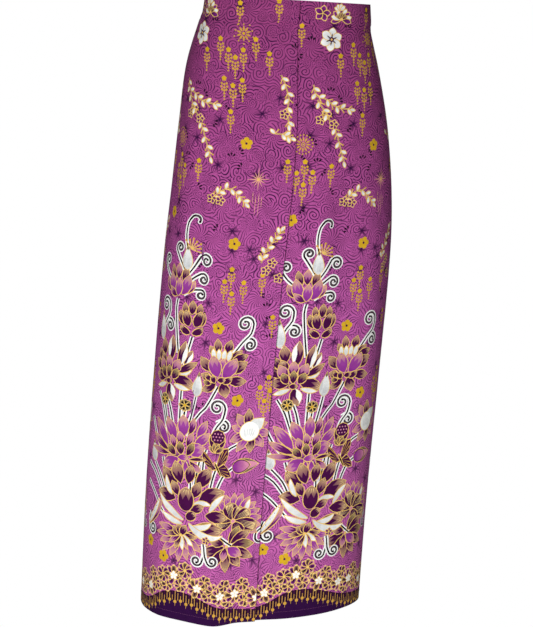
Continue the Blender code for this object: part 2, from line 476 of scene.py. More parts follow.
    def sprig(self, points, leaves, hand=1, blossoms=()):
        """A gold twig with white leaves in pairs and small line flowers."""
        path = smooth_path(points, 4.0)
        self.line(path, 2.2, GOLD)
        self.line(path, 0.8, DARK_OLIVE)
        count = len(path)
        for k in range(leaves):
            at = path[int((k + 0.6) * (count - 1) / leaves)]
            before = path[max(int((k + 0.6) * (count - 1) / leaves) - 1, 0)]
            run = math.degrees(math.atan2(at[0] - before[0], before[1] - at[1]))
            side = hand if k % 2 else -hand
            self.petal(at, run + 48.0 * side, 10.0, 5.2, "white", full=0.55, tip=0.7, rim=0.95, count=4)
            twig = at + 8.0 * toward(run - 40.0 * side)
            self.line((at, twig), 1.5, GOLD)
            self.dot(twig[0], twig[1], 1.7, AMBER, 5)
        end = path[-1]
        run = math.degrees(math.atan2(end[0] - path[-3][0], path[-3][1] - end[1]))
        self.petal(end, run, 9.5, 4.8, "white", full=0.5, tip=0.7, rim=0.95, count=4)
        for x, y in blossoms:
            self.line_flower(x, y)

    def line_flower(self, x, y, radius=7.0):
        for k in range(5):
            angle = 72.0 * k + 12.0
            self.petal((x, y), angle, radius * 1.1, radius * 0.8, "drawn", 0.0, 0.55, 0.8, 0.95, 4)
        self.dot(x, y, 1.3, GOLD, 6)

    def white_flower(self, x, y, size=19.0, angle=8.0):
        for k in range(6):
            self.petal((x, y), angle + 60.0 * k, size, size * 0.72, "white", 0.0, 0.56, 0.62, 0.8, 6)
        for k in range(6):
            self.leaf((x, y), angle + 60.0 * k, size * 0.55, size * 0.16, CHARCOAL)
        self.dot(x, y, 4.0, PLUM, 9)
        self.dot(x, y, 1.8, GOLD, 7)

    def fan_flower(self, x, y, size=19.0, style="olive"):
        for k in range(9):
            outer = "white" if k % 2 else "drawn"
            self.petal((x, y), -104.0 + 26.0 * k, size, size * 0.42, outer, 0.0, 0.62, 0.7, 0.9)
        for k in range(5):
            self.petal((x, y), -60.0 + 30.0 * k, size * 0.6, size * 0.26, style, 0.0, 0.6, 0.7, 0.6, 4)
        self.dot(x, y, 2.4, GOLD, 6)

    def medallion(self, x, y, radius=15.0):
        for k in range(18):
            a = math.radians(20.0 * k)
            self.dot(x + radius * math.sin(a), y - radius * math.cos(a), 1.5, AMBER, 5)
        for k in range(12):
            self.leaf(spot(x, y, 4.6, 30 * k), 30 * k, 7.8, 2.6, AMBER, 3)
        self.dot(x, y, 3.6, AMBER, 10)
        self.dot(x, y, 2.2, shade("#8a3a70"), 8)
        self.dot(x, y, 1.0, GOLD, 5)

    def gold_star(self, x, y):
        """A small sun of gold petals with dots between them."""
        for k in range(10):
            self.leaf(spot(x, y, 3.5, 36 * k), 36 * k, 8.5, 3.4, AMBER, 3)
            self.dot(*spot(x, y, 14.0 + 2.0 * (k % 2), 36 * k), 1.6, AMBER, 4)
        self.dot(x, y, 2.4, YELLOW, 7)

    def stamens(self, x, y, size=17.0):
        """A spray of thin gold stamens with a dot on each."""
        for k in range(7):
            tip = spot(x, y, size * (1.0 - 0.12 * (k % 2)), -40.0 + 24.0 * k)
            self.line(((x, y), tip), 1.5, GOLD)
            self.dot(tip[0], tip[1], 2.2, AMBER, 5)
            self.dot(*(0.45 * np.array((x, y)) + 0.55 * tip), 1.5, AMBER, 4)

    def starburst(self, x, y, radius=19.0):
        ray = shade("#d99a86")
        for k in range(12):
            length = radius * (1.0 if k % 3 == 0 else 0.72)
            self.leaf((x, y), 30.0 * k, length, 1.8, ray, full=0.2)
        self.dot(x, y, 2.4, GOLD, 8)
        for k, (dx, top, length) in enumerate(((-7, 18, 22), (-2.5, 24, 34), (2.5, 20, 40), (7, 26, 20))):
            self.leaf((x + dx, y + top), 180.0, length, 1.2, ray, full=0.3)
            self.dot(x + dx, y + top + length * 0.4, 0.8, BLACK, 5)

    def dotted_rosette(self, x, y, radius=10.5):
        self.lobes(x, y, radius, 8, 0.16, GOLD, 0.0, 4)
        self.lobes(x, y, radius - 1.1, 8, 0.16, DARK_OLIVE, 0.0, 3)
        for k in range(16):
            self.dot(*spot(x, y, radius - 2.3, 22.5 * k), 0.75, PALE_GOLD, 4)
        for k in range(6):
            angle = 60.0 * k + 15.0
            self.dot(*spot(x, y, 5.4, angle), 1.5, BLACK, 6, 1.7, angle)
        for k in range(6):
            self.leaf((x, y), 60.0 * k + 45.0, 8.0, 1.8, GOLD)
        self.dot(x, y, 2.3, YELLOW, 7)

    def three_drops(self, x, y, angle):
        for heading in (angle - 42.0, angle, angle + 42.0):
            at = spot(x, y, 3.0, heading)
            self.leaf(at, heading, 6.0, 3.2, shade("#240822"), 3, full=0.65, tip=0.6)

    def white_bud(self, x, y, length=34.0, angle=0.0):
        """A pale teardrop bud in a gold line, with a dark calyx tip and grey veins."""
        bud = self.petal((x, y), angle, length, 18.0, "white", full=0.33, tip=1.35, rim=0.8, count=8)
        self.fill(bud.side(-1, 0.12, 0.66, 0.55), GREY_WHITE)
        for across in (-0.25, 0.15, 0.5):
            self.fill(bud.at((0.12, 0.52, 0.12), (across, across * 0.6, across + 0.14)), shade("#aeb0b4"))
        self.fill(bud.tip_zone(0.80, 2, 0.05), DARK_OLIVE)

    def tulip_bud(self, x, y, angle, length=37.0, width=23.0):
        bud = Petal((x, y), angle, length, width, full=0.38, tip=1.0)
        self.fill(bud.outline(0.9), GOLD)
        self.fill(bud.outline(-0.4), SALMON)
        for hand in (-1, 1):
            self.fill(bud.side(hand, 0.3, 0.98, 0.3), DARK_OLIVE)
        heart = Petal((x, y), angle, length * 0.68, width * 0.92, full=0.42, tip=0.7)
        self.fill(heart.outline(0.9), GOLD)
        self.fill(heart.outline(0.0), PLUM)
        self.fill(heart.outline(-1.6), LILAC, SALMON, heart.spine[2], heart.spine[-3] - heart.spine[2])


def smooth_path(points, step):
    """A smooth curve through a few points, read about every step mm."""
    points = np.asarray(points, float)
    if len(points) == 2:
        count = max(2, int(np.linalg.norm(points[1] - points[0]) / (2.0 * step)) + 1)
        return points[0] + (points[1] - points[0]) * np.linspace(0.0, 1.0, count)[:, None]
    padded = np.vstack((2 * points[0] - points[1], points, 2 * points[-1] - points[-2]))
    out = []
    for a, b, c, d in zip(padded, padded[1:], padded[2:], padded[3:]):
        count = max(2, int(np.linalg.norm(c - b) / step))
        for t in np.arange(count) / count:
            square = (2 * a - 5 * b + 4 * c - d) * t * t
            cube = (3 * b - a - 3 * c + d) * t ** 3
            out.append(0.5 * (2 * b + (c - a) * t + square + cube))
    out.append(points[-1])
    return np.array(out)


# Places on the flat cloth, in mm across and down: strings of gold blossoms, yellow flowers with their
# turn in degrees, and the points that each stem runs through
STRINGS = (
    (70, 9), (131, 3), (178, 39), (40, 65), (16, 83), (53, 81), (64, 92), (77, 80), (97, 63), (118, 84),
    (46, 125), (60, 135), (75, 126), (56, 175), (148, 249), (176, 267), (188, 249), (188, 285),
    (201, 265), (5, 255),
    (75, 418), (65, 438), (77, 456), (95, 438), (124, 427), (145, 494), (146, 590), (133, 606),
    (150, 612), (141, 628),
)
YELLOW_FLOWERS = (
    (82, 222, 0), (75, 378, 14), (175, 341, 30), (60, 512, 8), (98, 625, 20), (-12, 890, 20), (177, 873, 0),
)
STEMS = (
    ((-12, 474), (-14, 489), (-10, 522), (-4, 560)),
    ((18, 531), (11, 564), (6, 610), (6, 670)),
    ((30, 624), (25, 650), (16, 690)),
    ((66, 604), (48, 640), (32, 660), (24, 700)),
    ((-22, 628), (-12, 650), (-4, 680)),
    ((-44, 628), (-30, 650), (-14, 690)),
    ((14, 645), (12, 662), (8, 690)),
    ((-26, 640), (-20, 662), (-10, 690)),
    ((-60, 672), (-46, 696), (-30, 716)),
    ((-22, 730), (-14, 756), (-8, 780)),
    ((20, 732), (30, 760), (30, 790)),
    ((44, 720), (40, 745), (36, 780)),
    ((53, 706), (50, 722), (48, 760)),
    ((112, 692), (84, 708), (68, 745), (60, 790)),
    ((98, 733), (82, 748), (66, 790)),
    ((-44, 741), (-24, 762), (-10, 790)),
    ((-64, 746), (-38, 762), (-12, 796)),
    ((-62, 776), (-40, 792), (-14, 820)),
    ((84, 846), (96, 856), (104, 862)),
)


def spray(art):
    """Top of the cloth: strings, sprigs, stars and small flowers."""
    for x, y in STRINGS:
        art.string(x, y)
    for x, y, turn in YELLOW_FLOWERS:
        art.yellow_flower(x, y, 10.0, turn)
    art.medallion(183, 222)
    art.gold_star(78, 55)
    art.starburst(104, 277)
    art.line_flower(-18, 18, 11)
    art.fan_flower(14, 26, 18)
    for k in range(4):
        art.petal((11, 12), -70 + 40 * k, 10, 6, "white", full=0.6, tip=0.6, count=4)
    art.white_flower(0, 58, 18.0)
    art.sprig(((-28, 129), (-23, 146), (-10, 150), (8, 162), (32, 166)), 8, 1, ((-8, 174), (-17, 183)))
    art.sprig(((-22, 152), (-6, 178), (6, 196), (16, 222), (25, 248)), 9, -1, ((4, 190),))
    art.sprig(((136, 116), (143, 134), (147, 152), (145, 170), (147, 192)), 7, 1, ((140, 176),))
    art.sprig(((126, 206), (137, 207), (150, 212)), 4, 1)
    art.sprig(((32, 312), (44, 300), (58, 293), (70, 299), (86, 314)), 8, -1, ((32, 311), (46, 313)))
    art.sprig(((120, 408), (124, 392), (134, 376), (146, 358)), 7, 1, ((137, 408), (149, 432), (128, 420)))


def tendrils(art):
    """The white tendrils with a black line that roll up beside the flowers."""
    art.tendril(((-1, 394), (-5, 372), (-3, 352), (4, 342)), 8.0, 1, 0.5, 6.6)
    art.tendril(((4, 434), (14, 420), (22, 404)), 11.0, 1)
    art.tendril(((-2, 428), (-13, 412), (-23, 398)), 8.5, 1)
    art.tendril(((-26, 450), (-44, 437), (-57, 422)), 9.5, 1)
    art.tendril(((-2, 455), (12, 440), (24, 431)), 9.5, 1)
    art.tendril(((-2, 466), (12, 458), (26, 456)), 8.0, 1, 1.2)
    art.tendril(((-40, 513), (-32, 508), (-24, 509)), 9.5, 1)
    art.tendril(((-47, 545), (-43, 520), (-31, 501), (-30, 486)), 13.0, -1)
    art.tendril(((101, 531), (108, 527), (115, 528)), 9.5, 1)
    art.tendril(((86, 552), (100, 533), (113, 519), (116, 504)), 13.0, -1)
    art.tendril(((67, 662), (76, 657), (82, 658)), 9.5, 1)
    art.tendril(((61, 694), (66, 672), (77, 655), (80, 638)), 13.0, -1)
    art.tendril(((-50, 826), (-54, 840), (-52, 853)), 10.0, -1)
    art.tendril(((150, 834), (141, 842), (140, 852)), 7.0, -1, 0.6, 6.4)


def foot_tendrils(art):
    """The pair that rolls up to both sides under the flowers."""
    art.tendril(((56, 858), (57, 876), (53, 890)), 8.5, 1, 1.2)
    art.tendril(((57, 862), (59, 878), (64, 889)), 8.5, -1, 1.2)


def dark_bud(art, x, y):
    """A closed dark flower like an egg on its stem."""
    art.rows(x, y, (
        Row(-9, -9, -10, 19, 10, 18, "dark low"), Row(9, -9, 10, 19, 10, -18, "dark low"),
        Row(0, -11, 2, 21, 12, 0, "dark low"),
        Row(-11, 6, -22, 23, 12, 34, "dark"), Row(12, 6, 22, 23, 12, -34, "dark"),
        Row(-4, 8, -14, 25, 15, 20, "dark"), Row(6, 8, 16, 25, 15, -20, "dark high"),
        Row(-1, 19, -58, 20, 11, 50, "dark high"), Row(2, 19, 58, 20, 11, -50, "dark high"),
    ), full=0.46, tip=0.75)


def lilac_bud(art, x, y):
    """The half-open lilac flower under the top bud."""
    art.rows(x, y, (
        Row(-8, -8, -18, 24, 12, 16, "dark low"), Row(9, -8, 18, 24, 12, -16, "dark low"),
        Row(0, -10, 0, 24, 13, 0, "rose"),
        Row(-13, 10, -40, 26, 13, 40, "lilac dark"), Row(13, 10, 42, 26, 13, -40, "lilac dark"),
        Row(-7, 14, -18, 34, 18, 24, "lilac"), Row(9, 14, 20, 34, 18, -24, "lilac"),
        Row(0, 16, -58, 22, 11, 50, "lilac dark"), Row(1, 17, 4, 27, 15, 0, "lilac"),
    ), full=0.48, tip=0.85)


def white_tipped_lotus(art, x, y):
    """An open lotus with a row of white petals in its middle."""
    art.rows(x, y, (
        Row(-10, -36, -34, 16, 11, 0, "dark low"), Row(-5, -38, -6, 24, 12, 0, "dark low"),
        Row(8, -38, 14, 24, 14, 0, "dark"), Row(15, -28, 44, 24, 14, 0, "dark"),
        Row(-14, -10, -44, 28, 16, 10, "dark low"), Row(-13, 2, -72, 18, 13, 10, "dark"),
        Row(16, -26, 66, 28, 15, 10, "dark high"), Row(14, -12, 62, 31, 19, -10, "dark"),
        Row(12, 0, 98, 30, 16, -20, "dark"), Row(-6, 8, -122, 26, 14, 20, "dark"),
        Row(3, 6, 160, 24, 18, 10, "dark low"),
    ), full=0.5, tip=1.0)
    for k in range(4):
        art.petal((x - 11 + 7.2 * k, y - 29), -10 + 8 * k, 17, 8, "white", full=0.5, tip=0.8)
    art.rows(x, y, (
        Row(1, -14, 10, 18, 10, 0, "lilac"), Row(-3, -2, -16, 34, 21, 22, "lilac"),
        Row(4, -3, 34, 36, 21, -24, "lilac"),
        Row(-13, 4, -50, 13, 9, 40, "dark high"), Row(-8, 8, -20, 12, 9, 20, "dark high"),
        Row(-14, 10, -80, 12, 8, 0, "olive"),
        Row(4, 6, 60, 17, 10, -30, "dark high"), Row(-4, 3, 84, 12, 9, 0, "dark high"),
    ), full=0.5, tip=0.8)


def tall_lotus(art, x, y):
    """The big dark lotus with upright petals that are half white."""
    art.rows(x, y, (
        Row(29, -27, 28, 25, 12, -10, "dark white right"), Row(-14, -34, -10, 28, 18, 10, "dark low"),
        Row(-21, -24, -32, 22, 13, 20, "dark"), Row(3, -28, 2, 41, 18, 8, "dark white left"),
        Row(19, -22, 14, 42, 16, -12, "dark white right"), Row(22, -8, 62, 22, 9, 0, "white"),
        Row(17, -12, 58, 37, 12, -8, "dark"), Row(-18, -12, -62, 26, 14, 10, "dark"),
        Row(-6, 0, -88, 30, 19, -14, "dark"), Row(10, -2, 106, 38, 22, 16, "dark"),
        Row(-4, 8, -108, 28, 8, 12, "white"), Row(12, 7, 102, 28, 8, -14, "white"),
        Row(2, 6, 162, 30, 20, -10, "dark white left"),
    ), full=0.5, tip=1.0)
    art.rows(x, y, (
        Row(-12, -18, -24, 22, 17, 14, "dark"), Row(-10, -8, -32, 26, 17, 16, "rose"),
        Row(9, -10, 26, 25, 17, -16, "rose"),
        Row(-1, -12, 0, 24, 16, 0, "rose"), Row(-8, -1, -30, 19, 13, 26, "olive"),
        Row(8, -1, 30, 19, 13, -26, "olive"),
        Row(0, -1, 0, 20, 12, 0, "olive"), Row(-6, 4, 88, 13, 9, 0, "dark high"),
    ), full=0.5, tip=0.75)


def wide_lotus(art, x, y):
    """The lilac lotus that spreads to both sides."""
    art.rows(x, y, (
        Row(-20, 3, -86, 46, 9, 8, "rose"), Row(-22, -2, -64, 47, 12, 10, "lilac dark"),
        Row(-24, -9, -42, 52, 17, -12, "lilac"),
        Row(-10, -22, -32, 38, 19, 12, "lilac"), Row(23, -30, 30, 32, 13, -10, "lilac"),
        Row(10, -32, 16, 28, 13, 0, "lilac dark"),
        Row(0, -26, -2, 36, 18, 0, "lilac"), Row(19, -16, 48, 34, 15, -16, "lilac"),
        Row(12, 8, 82, 28, 6, 14, "dark high"),
        Row(10, -2, 66, 30, 23, 16, "lilac"), Row(-10, 14, -134, 30, 9, 20, "dark"),
        Row(-6, 7, -120, 32, 21, 24, "lilac"),
        Row(-2, 10, 188, 25, 10, 0, "lilac"), Row(6, 10, 170, 25, 10, 0, "lilac"),
        Row(14, 10, 128, 26, 10, -10, "rose"),
    ), full=0.5, tip=1.0)
    art.rows(x, y, (
        Row(-12, -8, -18, 20, 11, 8, "rose"), Row(-3, -14, -6, 20, 11, 0, "rose"),
        Row(7, -13, 22, 24, 12, 0, "rose"),
        Row(-10, 3, -44, 20, 12, 24, "olive"), Row(-2, 2, -8, 20, 12, 0, "olive"),
        Row(8, 2, 26, 24, 12, -10, "olive"),
        Row(-7, 7, 84, 18, 11, 0, "lilac"),
    ), full=0.5, tip=0.85)


def crescent(art, x, y, angle, length, width, bend):
    art.petal((x, y), angle, length, width, "white", bend=bend, full=0.48, tip=0.85, rim=0.9, count=8)


def white_petalled_lotus(art, x, y):
    """The largest lotus: dark petals, long curved white sepals and a round heart."""
    art.rows(x, y, (
        Row(16, -22, 34, 40, 22, -8, "dark"), Row(-16, -16, -44, 40, 22, 8, "dark"),
        Row(-10, -24, -18, 36, 20, 4, "dark low"),
        Row(3, -26, 8, 30, 17, 0, "dark"), Row(-18, 2, -78, 34, 22, -12, "dark"),
        Row(33, 21, 94, 36, 20, 14, "dark"),
        Row(21, 0, 64, 46, 27, 12, "dark"), Row(16, 40, 92, 48, 26, -34, "dark"),
        Row(12, -4, 20, 28, 16, 0, "dark low"),
        Row(-14, -4, -26, 24, 14, 0, "dark low"),
    ), full=0.5, tip=0.95)
    crescent(art, x + 40, y + 15, 38, 38, 9, 30)
    crescent(art, x + 12, y + 7, 84, 31, 8, 50)
    art.petal((x + 8, y + 18), 62, 24, 14, "dark", full=0.5, tip=0.85)
    crescent(art, x + 12, y + 41, 74, 35, 9, -64)
    crescent(art, x - 24, y - 4, -22, 32, 8, 34)
    crescent(art, x - 2, y + 34, -52, 60, 10, 34)
    crescent(art, x - 4, y + 40, -70, 40, 9, 36)
    crescent(art, x + 6, y + 37, 104, 64, 11, -84)
    art.petal((x, y + 19), 0, 38, 26, "dark", full=0.46, tip=0.6, rim=1.0, count=9)
    art.petal((x + 2, y + 31), 54, 18, 15, "dark high", full=0.5, tip=0.55)


# The angle, length and width of each striped petal
STRIPED_PETALS = (
    (-104, 28, 19), (-64, 31, 20), (-16, 31, 23), (28, 25, 19), (62, 30, 21), (108, 40, 23), (150, 27, 20),
)


def carnation(art, x, y):
    """A round flower of gold-striped segments in a ring of pointed lilac petals."""
    for k in range(10):
        angle = -34 + 17 * k
        art.petal(spot(x, y, 18, angle), angle, 27, 12, "lilac", tip=1.0)
    crescent(art, x + 20, y - 14, 16, 20, 7, 10)
    crescent(art, x - 14, y + 4, -70, 22, 9, 20)
    for angle, length, width in STRIPED_PETALS:
        petal = art.petal((x, y), angle, length, width, "dark high", full=0.66, tip=0.55)
        for across in (-0.75, -0.4, -0.05, 0.3, 0.65):
            art.fill(petal.at((0.22, 0.93, 0.93), (across, across - 0.04, across + 0.12)), PALE_GOLD)
    art.lobes(x, y, 4.6, 6, 0.3, GOLD, 0.0, 3)
    art.lobes(x, y, 3.2, 6, 0.3, SALMON, 0.0, 3)


def low_lotus(art, x, y):
    """The dark flower that lies under the striped one."""
    art.rows(x, y, (
        Row(-4, 0, -108, 40, 18, 14, "dark"), Row(-4, -4, -76, 24, 14, 0, "dark low"),
        Row(4, -4, 30, 30, 15, 0, "olive"),
        Row(6, -4, 60, 36, 16, 0, "dark"), Row(8, 0, 88, 36, 17, 0, "olive"),
        Row(6, 4, 116, 40, 17, -8, "dark"),
        Row(2, 6, 146, 36, 16, 0, "dark"), Row(-2, 6, 178, 36, 15, 0, "dark low"),
        Row(-6, 4, -150, 36, 15, 0, "dark"),
        Row(2, 2, 126, 28, 17, -20, "lilac"), Row(-2, 2, -170, 22, 12, 0, "rose"),
    ), full=0.5, tip=1.0)
    art.dot(x, y, 2.6, GOLD, 7)


def ball_bud(art, x, y):
    """A white ball bud with its tip, held in purple sepals."""
    for angle, length, width, style in (
        (-70, 30, 13, "lilac"), (-36, 36, 14, "rose"), (-4, 36, 15, "dark"), (64, 30, 12, "lilac dark"),
        (100, 34, 14, "lilac"),
        (138, 34, 15, "lilac dark"), (176, 34, 15, "dark"), (212, 36, 14, "lilac"),
        (246, 33, 14, "lilac dark"),
    ):
        art.petal((x, y), angle, length, width, style, bend=14, full=0.55, tip=1.0)
    art.dot(x, y, 16.4, GOLD, 20)
    art.petal((x + 3, y - 4), 50, 26, 22, "white", full=0.35, tip=1.3)
    art.dot(x, y, 15.2, WHITE, 20)
    for k in range(5):
        art.leaf((x - 6 + 2.6 * k, y + 9), -10 + 8 * k, 14, 1.3, GREY_WHITE)


def pink_flower(art, x, y):
    """The flower below the big lotus, its petals hanging in a fan."""
    for k in range(11):
        angle = 84 + 20 * k
        style = "lilac" if k % 2 else "rose"
        art.petal(spot(x, y, 8, angle), angle, 34 + 4 * (k % 2), 12, style, tip=1.1)
    for angle, style in (
        (96, "dark"), (128, "white"), (152, "lilac dark"), (172, "white"), (200, "dark"),
        (228, "lilac dark"), (262, "dark")
    ):
        art.petal((x, y), angle, 26, 9, style, bend=-8, full=0.5, tip=1.0)
    for angle in (-50, -14, 24):
        art.petal((x, y + 2), angle, 18, 12, "dark", full=0.5, tip=0.8)
    art.dot(x, y + 2, 2.4, GOLD, 7)


def seed_pod(art, x, y):
    """A lotus pod, broad at the top and full of seeds."""
    art.petal((x, y + 18), 6, 34, 26, "dark high", full=0.62, tip=0.5, count=8)
    art.lobes(x + 3, y - 8, 12.5, 9, 0.16, GOLD, 0.0, 3)
    art.lobes(x + 3, y - 8, 11.4, 9, 0.16, PLUM, 0.0, 3)
    for row, count in enumerate((3, 4, 3)):
        for k in range(count):
            art.dot(x + 3 + (k - (count - 1) / 2) * 5.0, y - 13 + 5 * row, 1.4, SALMON, 5)
    for k in range(4):
        art.petal((x + 1, y + 17), -54 + 36 * k, 14, 7, "olive", count=4)


# Butterfly wings: each outline's corners go from the body round the wing's rim, in mm
WINGS = (
    ((0, 0), (-6, -5), (-11, -14), (-17, -21), (-24, -26), (-25, -18), (-21, -9), (-15, -2), (-7, 2)),
    ((0, 0), (1, -12), (4, -23), (10, -32), (16, -33), (17, -25), (15, -15), (11, -7)),
    ((0, 0), (11, -8), (16, -3), (21, 5), (23, 12), (16, 13), (8, 9)),
)


def butterfly(art, x, y):
    """A dark butterfly with gold rims and gold veins that run out from its body."""
    for wing in WINGS:
        rim = np.array(wing, float) + (x, y)
        middle = rim.mean(axis=0)
        art.fill(middle + (rim - middle) * 1.13, GOLD)
        art.fill(rim, PLUM)
        for corner in rim[2:-1]:
            run = corner - rim[0]
            side = np.array((-run[1], run[0])) / np.linalg.norm(run)
            art.fill(
                (rim[0] + 0.25 * run, rim[0] + 0.9 * run + 0.7 * side, rim[0] + 0.9 * run - 0.7 * side),
                AMBER
            )
    art.leaf((x - 5, y - 12), 152, 28, 4.6, GOLD, 4, full=0.4, tip=0.6)
    art.leaf((x - 4, y - 10), 152, 24, 2.4, BLACK, 3, full=0.4, tip=0.6)


def feather(art, x, y):
    """A wavy white feather with a gold and a lilac edge."""
    art.petal((x, y), 36, 58, 13, "lilac dark", bend=-20, full=0.6, tip=0.8)
    art.petal((x - 3, y - 1), 34, 58, 8, "white", bend=-20, full=0.5, tip=0.7, count=8)
    for k in range(5):
        art.dot(x + 2 + 6.4 * k, y - 6 - 9.6 * k, 0.9, BLACK, 4)


def border(art):
    """The hem: lace flowers, a fringe of stripes, gold beads and the plain dark band."""
    marks = np.array(
        ((-8, 958), (33, 958), (60, 966), (85, 976), (112, 982), (145, 984), (176, 984), (204, 970)),
        float
    )

    def wave(x):
        return np.interp(x, marks[:, 0], marks[:, 1], period=REPEAT)

    across = np.linspace(-8.0, REPEAT + 8.0, 60)
    smooth = np.array([np.mean([wave(x + d) for d in (-14, -7, 0, 7, 14)]) for x in across])
    for a, b, ya, yb in zip(across, across[1:], smooth, smooth[1:]):
        if b <= 0 or a >= REPEAT:
            continue
        art.fill(((a, ya), (b, yb), (b, CUT_LENGTH + 3.0), (a, CUT_LENGTH + 3.0)), DEEP_PLUM)
        art.fill(((a, ya - 15), (b, yb - 15), (b, yb), (a, ya)), shade("#3a0c34"))
    stripes = 96
    for k in range(stripes):
        x = REPEAT * k / stripes
        y = float(np.interp(x, across, smooth))
        golden = k % 2 == 1
        wide = 0.5 if golden else 0.7
        tall = 8 + 4 * (k % 3) if golden else 15
        art.fill(
            ((x - wide, y - tall), (x + wide, y - tall), (x + wide, y), (x - wide, y)),
            AMBER if golden else BLACK
        )
    for x, radius, count, lift in LACE:
        y = float(np.interp(x % REPEAT, across, smooth)) - lift
        lace_rosette(art, x, y, 1.12 * radius, count, radius > 13)
    beads = 24
    for k in range(beads):
        x = REPEAT * (k + 0.25) / beads
        y = float(np.interp(x, across, smooth)) + 2.6 * (k % 2)
        art.fill(((x - 0.4, y), (x + 0.4, y), (x + 0.3, y + 7), (x - 0.3, y + 7)), AMBER)
        art.dot(x, y, 2.8, AMBER, 8)


# The lace: where each flower is, its size, its petals and how far it is above the beads
LACE = (
    (-20, 10, 7, 30), (-4, 9, 6, 24), (8, 15, 9, 40), (20, 10, 7, 26), (27, 12, 8, 52), (40, 9, 6, 34),
    (48, 15, 9, 30),
    (60, 10, 7, 46), (66, 9, 6, 26), (74, 11, 7, 38), (86, 14, 9, 34), (92, 9, 6, 52), (100, 10, 7, 28),
    (110, 15, 9, 40),
    (122, 10, 7, 56), (126, 10, 7, 30), (136, 9, 6, 42), (146, 15, 9, 34), (158, 10, 7, 48),
    (162, 9, 6, 28), (172, 11, 7, 40),
    (184, 15, 9, 34), (190, 9, 6, 54), (198, 10, 7, 34), (214, 12, 8, 44),
)


def lace_rosette(art, x, y, radius, count, white_heart):
    """A flower of the lace border: petals in a gold line, each with a black drop."""
    fillings = (SALMON, LILAC, OLIVE)
    width = radius * 4.0 / count + 1.4
    for k in range(count):
        angle = 360.0 * k / count + 5.0 * x
        petal = Petal((x, y), angle, radius, width, full=0.64, tip=0.6)
        art.fill(petal.outline(0.9, 3), GOLD)
        art.fill(petal.outline(-0.45, 3), PLUM, fillings[k % 3], (x, y), radius * toward(angle))
        art.leaf(petal.at(0.42, 0.0)[0], angle, radius * 0.42, 2.6, BLACK)
        art.dot(*petal.at(0.96, 0.0)[0], 1.2, PALE_GOLD, 4)
    if white_heart:
        for k in range(5):
            art.leaf((x, y), 72 * k, 7.4, 5.0, GOLD, 3, 0.5, full=0.6, tip=0.6)
            art.leaf((x, y), 72 * k, 7.0, 4.6, WHITE, 3, full=0.6, tip=0.6)
    else:
        art.dot(x, y, radius * 0.2, GOLD, 6)


def sprinkle(art):
    """Dark drops in threes over the ground."""
    pick = random.Random(5)
    for _ in range(40):
        art.three_drops(pick.uniform(0, REPEAT), pick.uniform(40, 660), pick.choice((0, 60, -60, 120)))


def whole_print():
    """The whole repeat, painted from the ground upwards."""
    art = Drawing()
    sprinkle(art)
    spray(art)
    for points in STEMS:
        art.stem(points)
    tendrils(art)
    art.stamens(6, 394)
    lilac_bud(art, -14, 453)
    art.white_bud(2, 427, 39, -4)
    dark_bud(art, 15, 507)
    white_tipped_lotus(art, 68, 591)
    art.white_bud(-47, 545, 46, -6)
    tall_lotus(art, -21, 603)
    art.white_bud(30, 625, 40, 5)
    art.dotted_rosette(-27, 637)
    art.dotted_rosette(13, 641)
    seed_pod(art, 68, 692)
    ball_bud(art, 121, 676)
    butterfly(art, 72, 735)
    art.white_bud(-45, 742, 34, -10)
    wide_lotus(art, 13, 719)
    art.tulip_bud(97, 733, 84, 42, 24)
    carnation(art, 103, 820)
    low_lotus(art, 94, 860)
    feather(art, -54, 848)
    pink_flower(art, 18, 848)
    white_petalled_lotus(art, 24, 791)
    foot_tendrils(art)
    art.line_flower(60, 852, 6)
    border(art)
    return art


# How each stretch of cloth lies round the body, and which place of the print lies at its plumb line,
# which is an angle round the body, or the lap's edge where none is given. A lean moves the print across,
# in mm, by one amount at the top and another at the hem.
Stretch = namedtuple(
    "Stretch", "name node starts ends is_band is_under plumb across_at_plumb lean_top lean_hem"
)
STRETCHES = (
    Stretch("over_panel", "front_over_panel", LEFT_SEAM, None, False, False, None, 153.0, 10.0, -8.0),
    Stretch(
        "under_panel", "front_under_panel", UNDERLAP_END, RIGHT_SEAM, False, True, None, -54.6, 0.0, 0.0
    ),
    Stretch("back_panel", "back_panel", RIGHT_SEAM, LEFT_SEAM + 360.0, False, False, 180.0, 470.0, 0.0, 0.0),
    Stretch("waistband_over", "waistband_over", LEFT_SEAM, None, True, False, None, 153.0, 10.0, -8.0),
    Stretch(
        "waistband_under", "waistband_under", UNDERLAP_END, RIGHT_SEAM, True, True, None, -54.6, 0.0, 0.0
    ),
    Stretch(
        "waistband_back", "waistband_back", RIGHT_SEAM, LEFT_SEAM + 360.0, True, False, 180.0, 470.0, 0.0,
        0.0
    ),
)
# The way round the body is measured from before the left seam to past it again, a degree at a time
ROUND_THE_BODY = (-100.0, 276.0, 1.0)
COLUMN_MARGIN = 12.0
COLUMN_STEP = 4.0
PANELS = [stretch for stretch in STRETCHES if not stretch.is_band]
BANDS = [stretch for stretch in STRETCHES if stretch.is_band]


def cell_rows(is_band):
    """The heights at which the flat cloth's cells begin and end."""
    if is_band:
        return np.array((0.0, BAND_FOOT))
    return np.linspace(BAND_FOOT, CUT_LENGTH, PANEL_CELL_ROWS + 1)


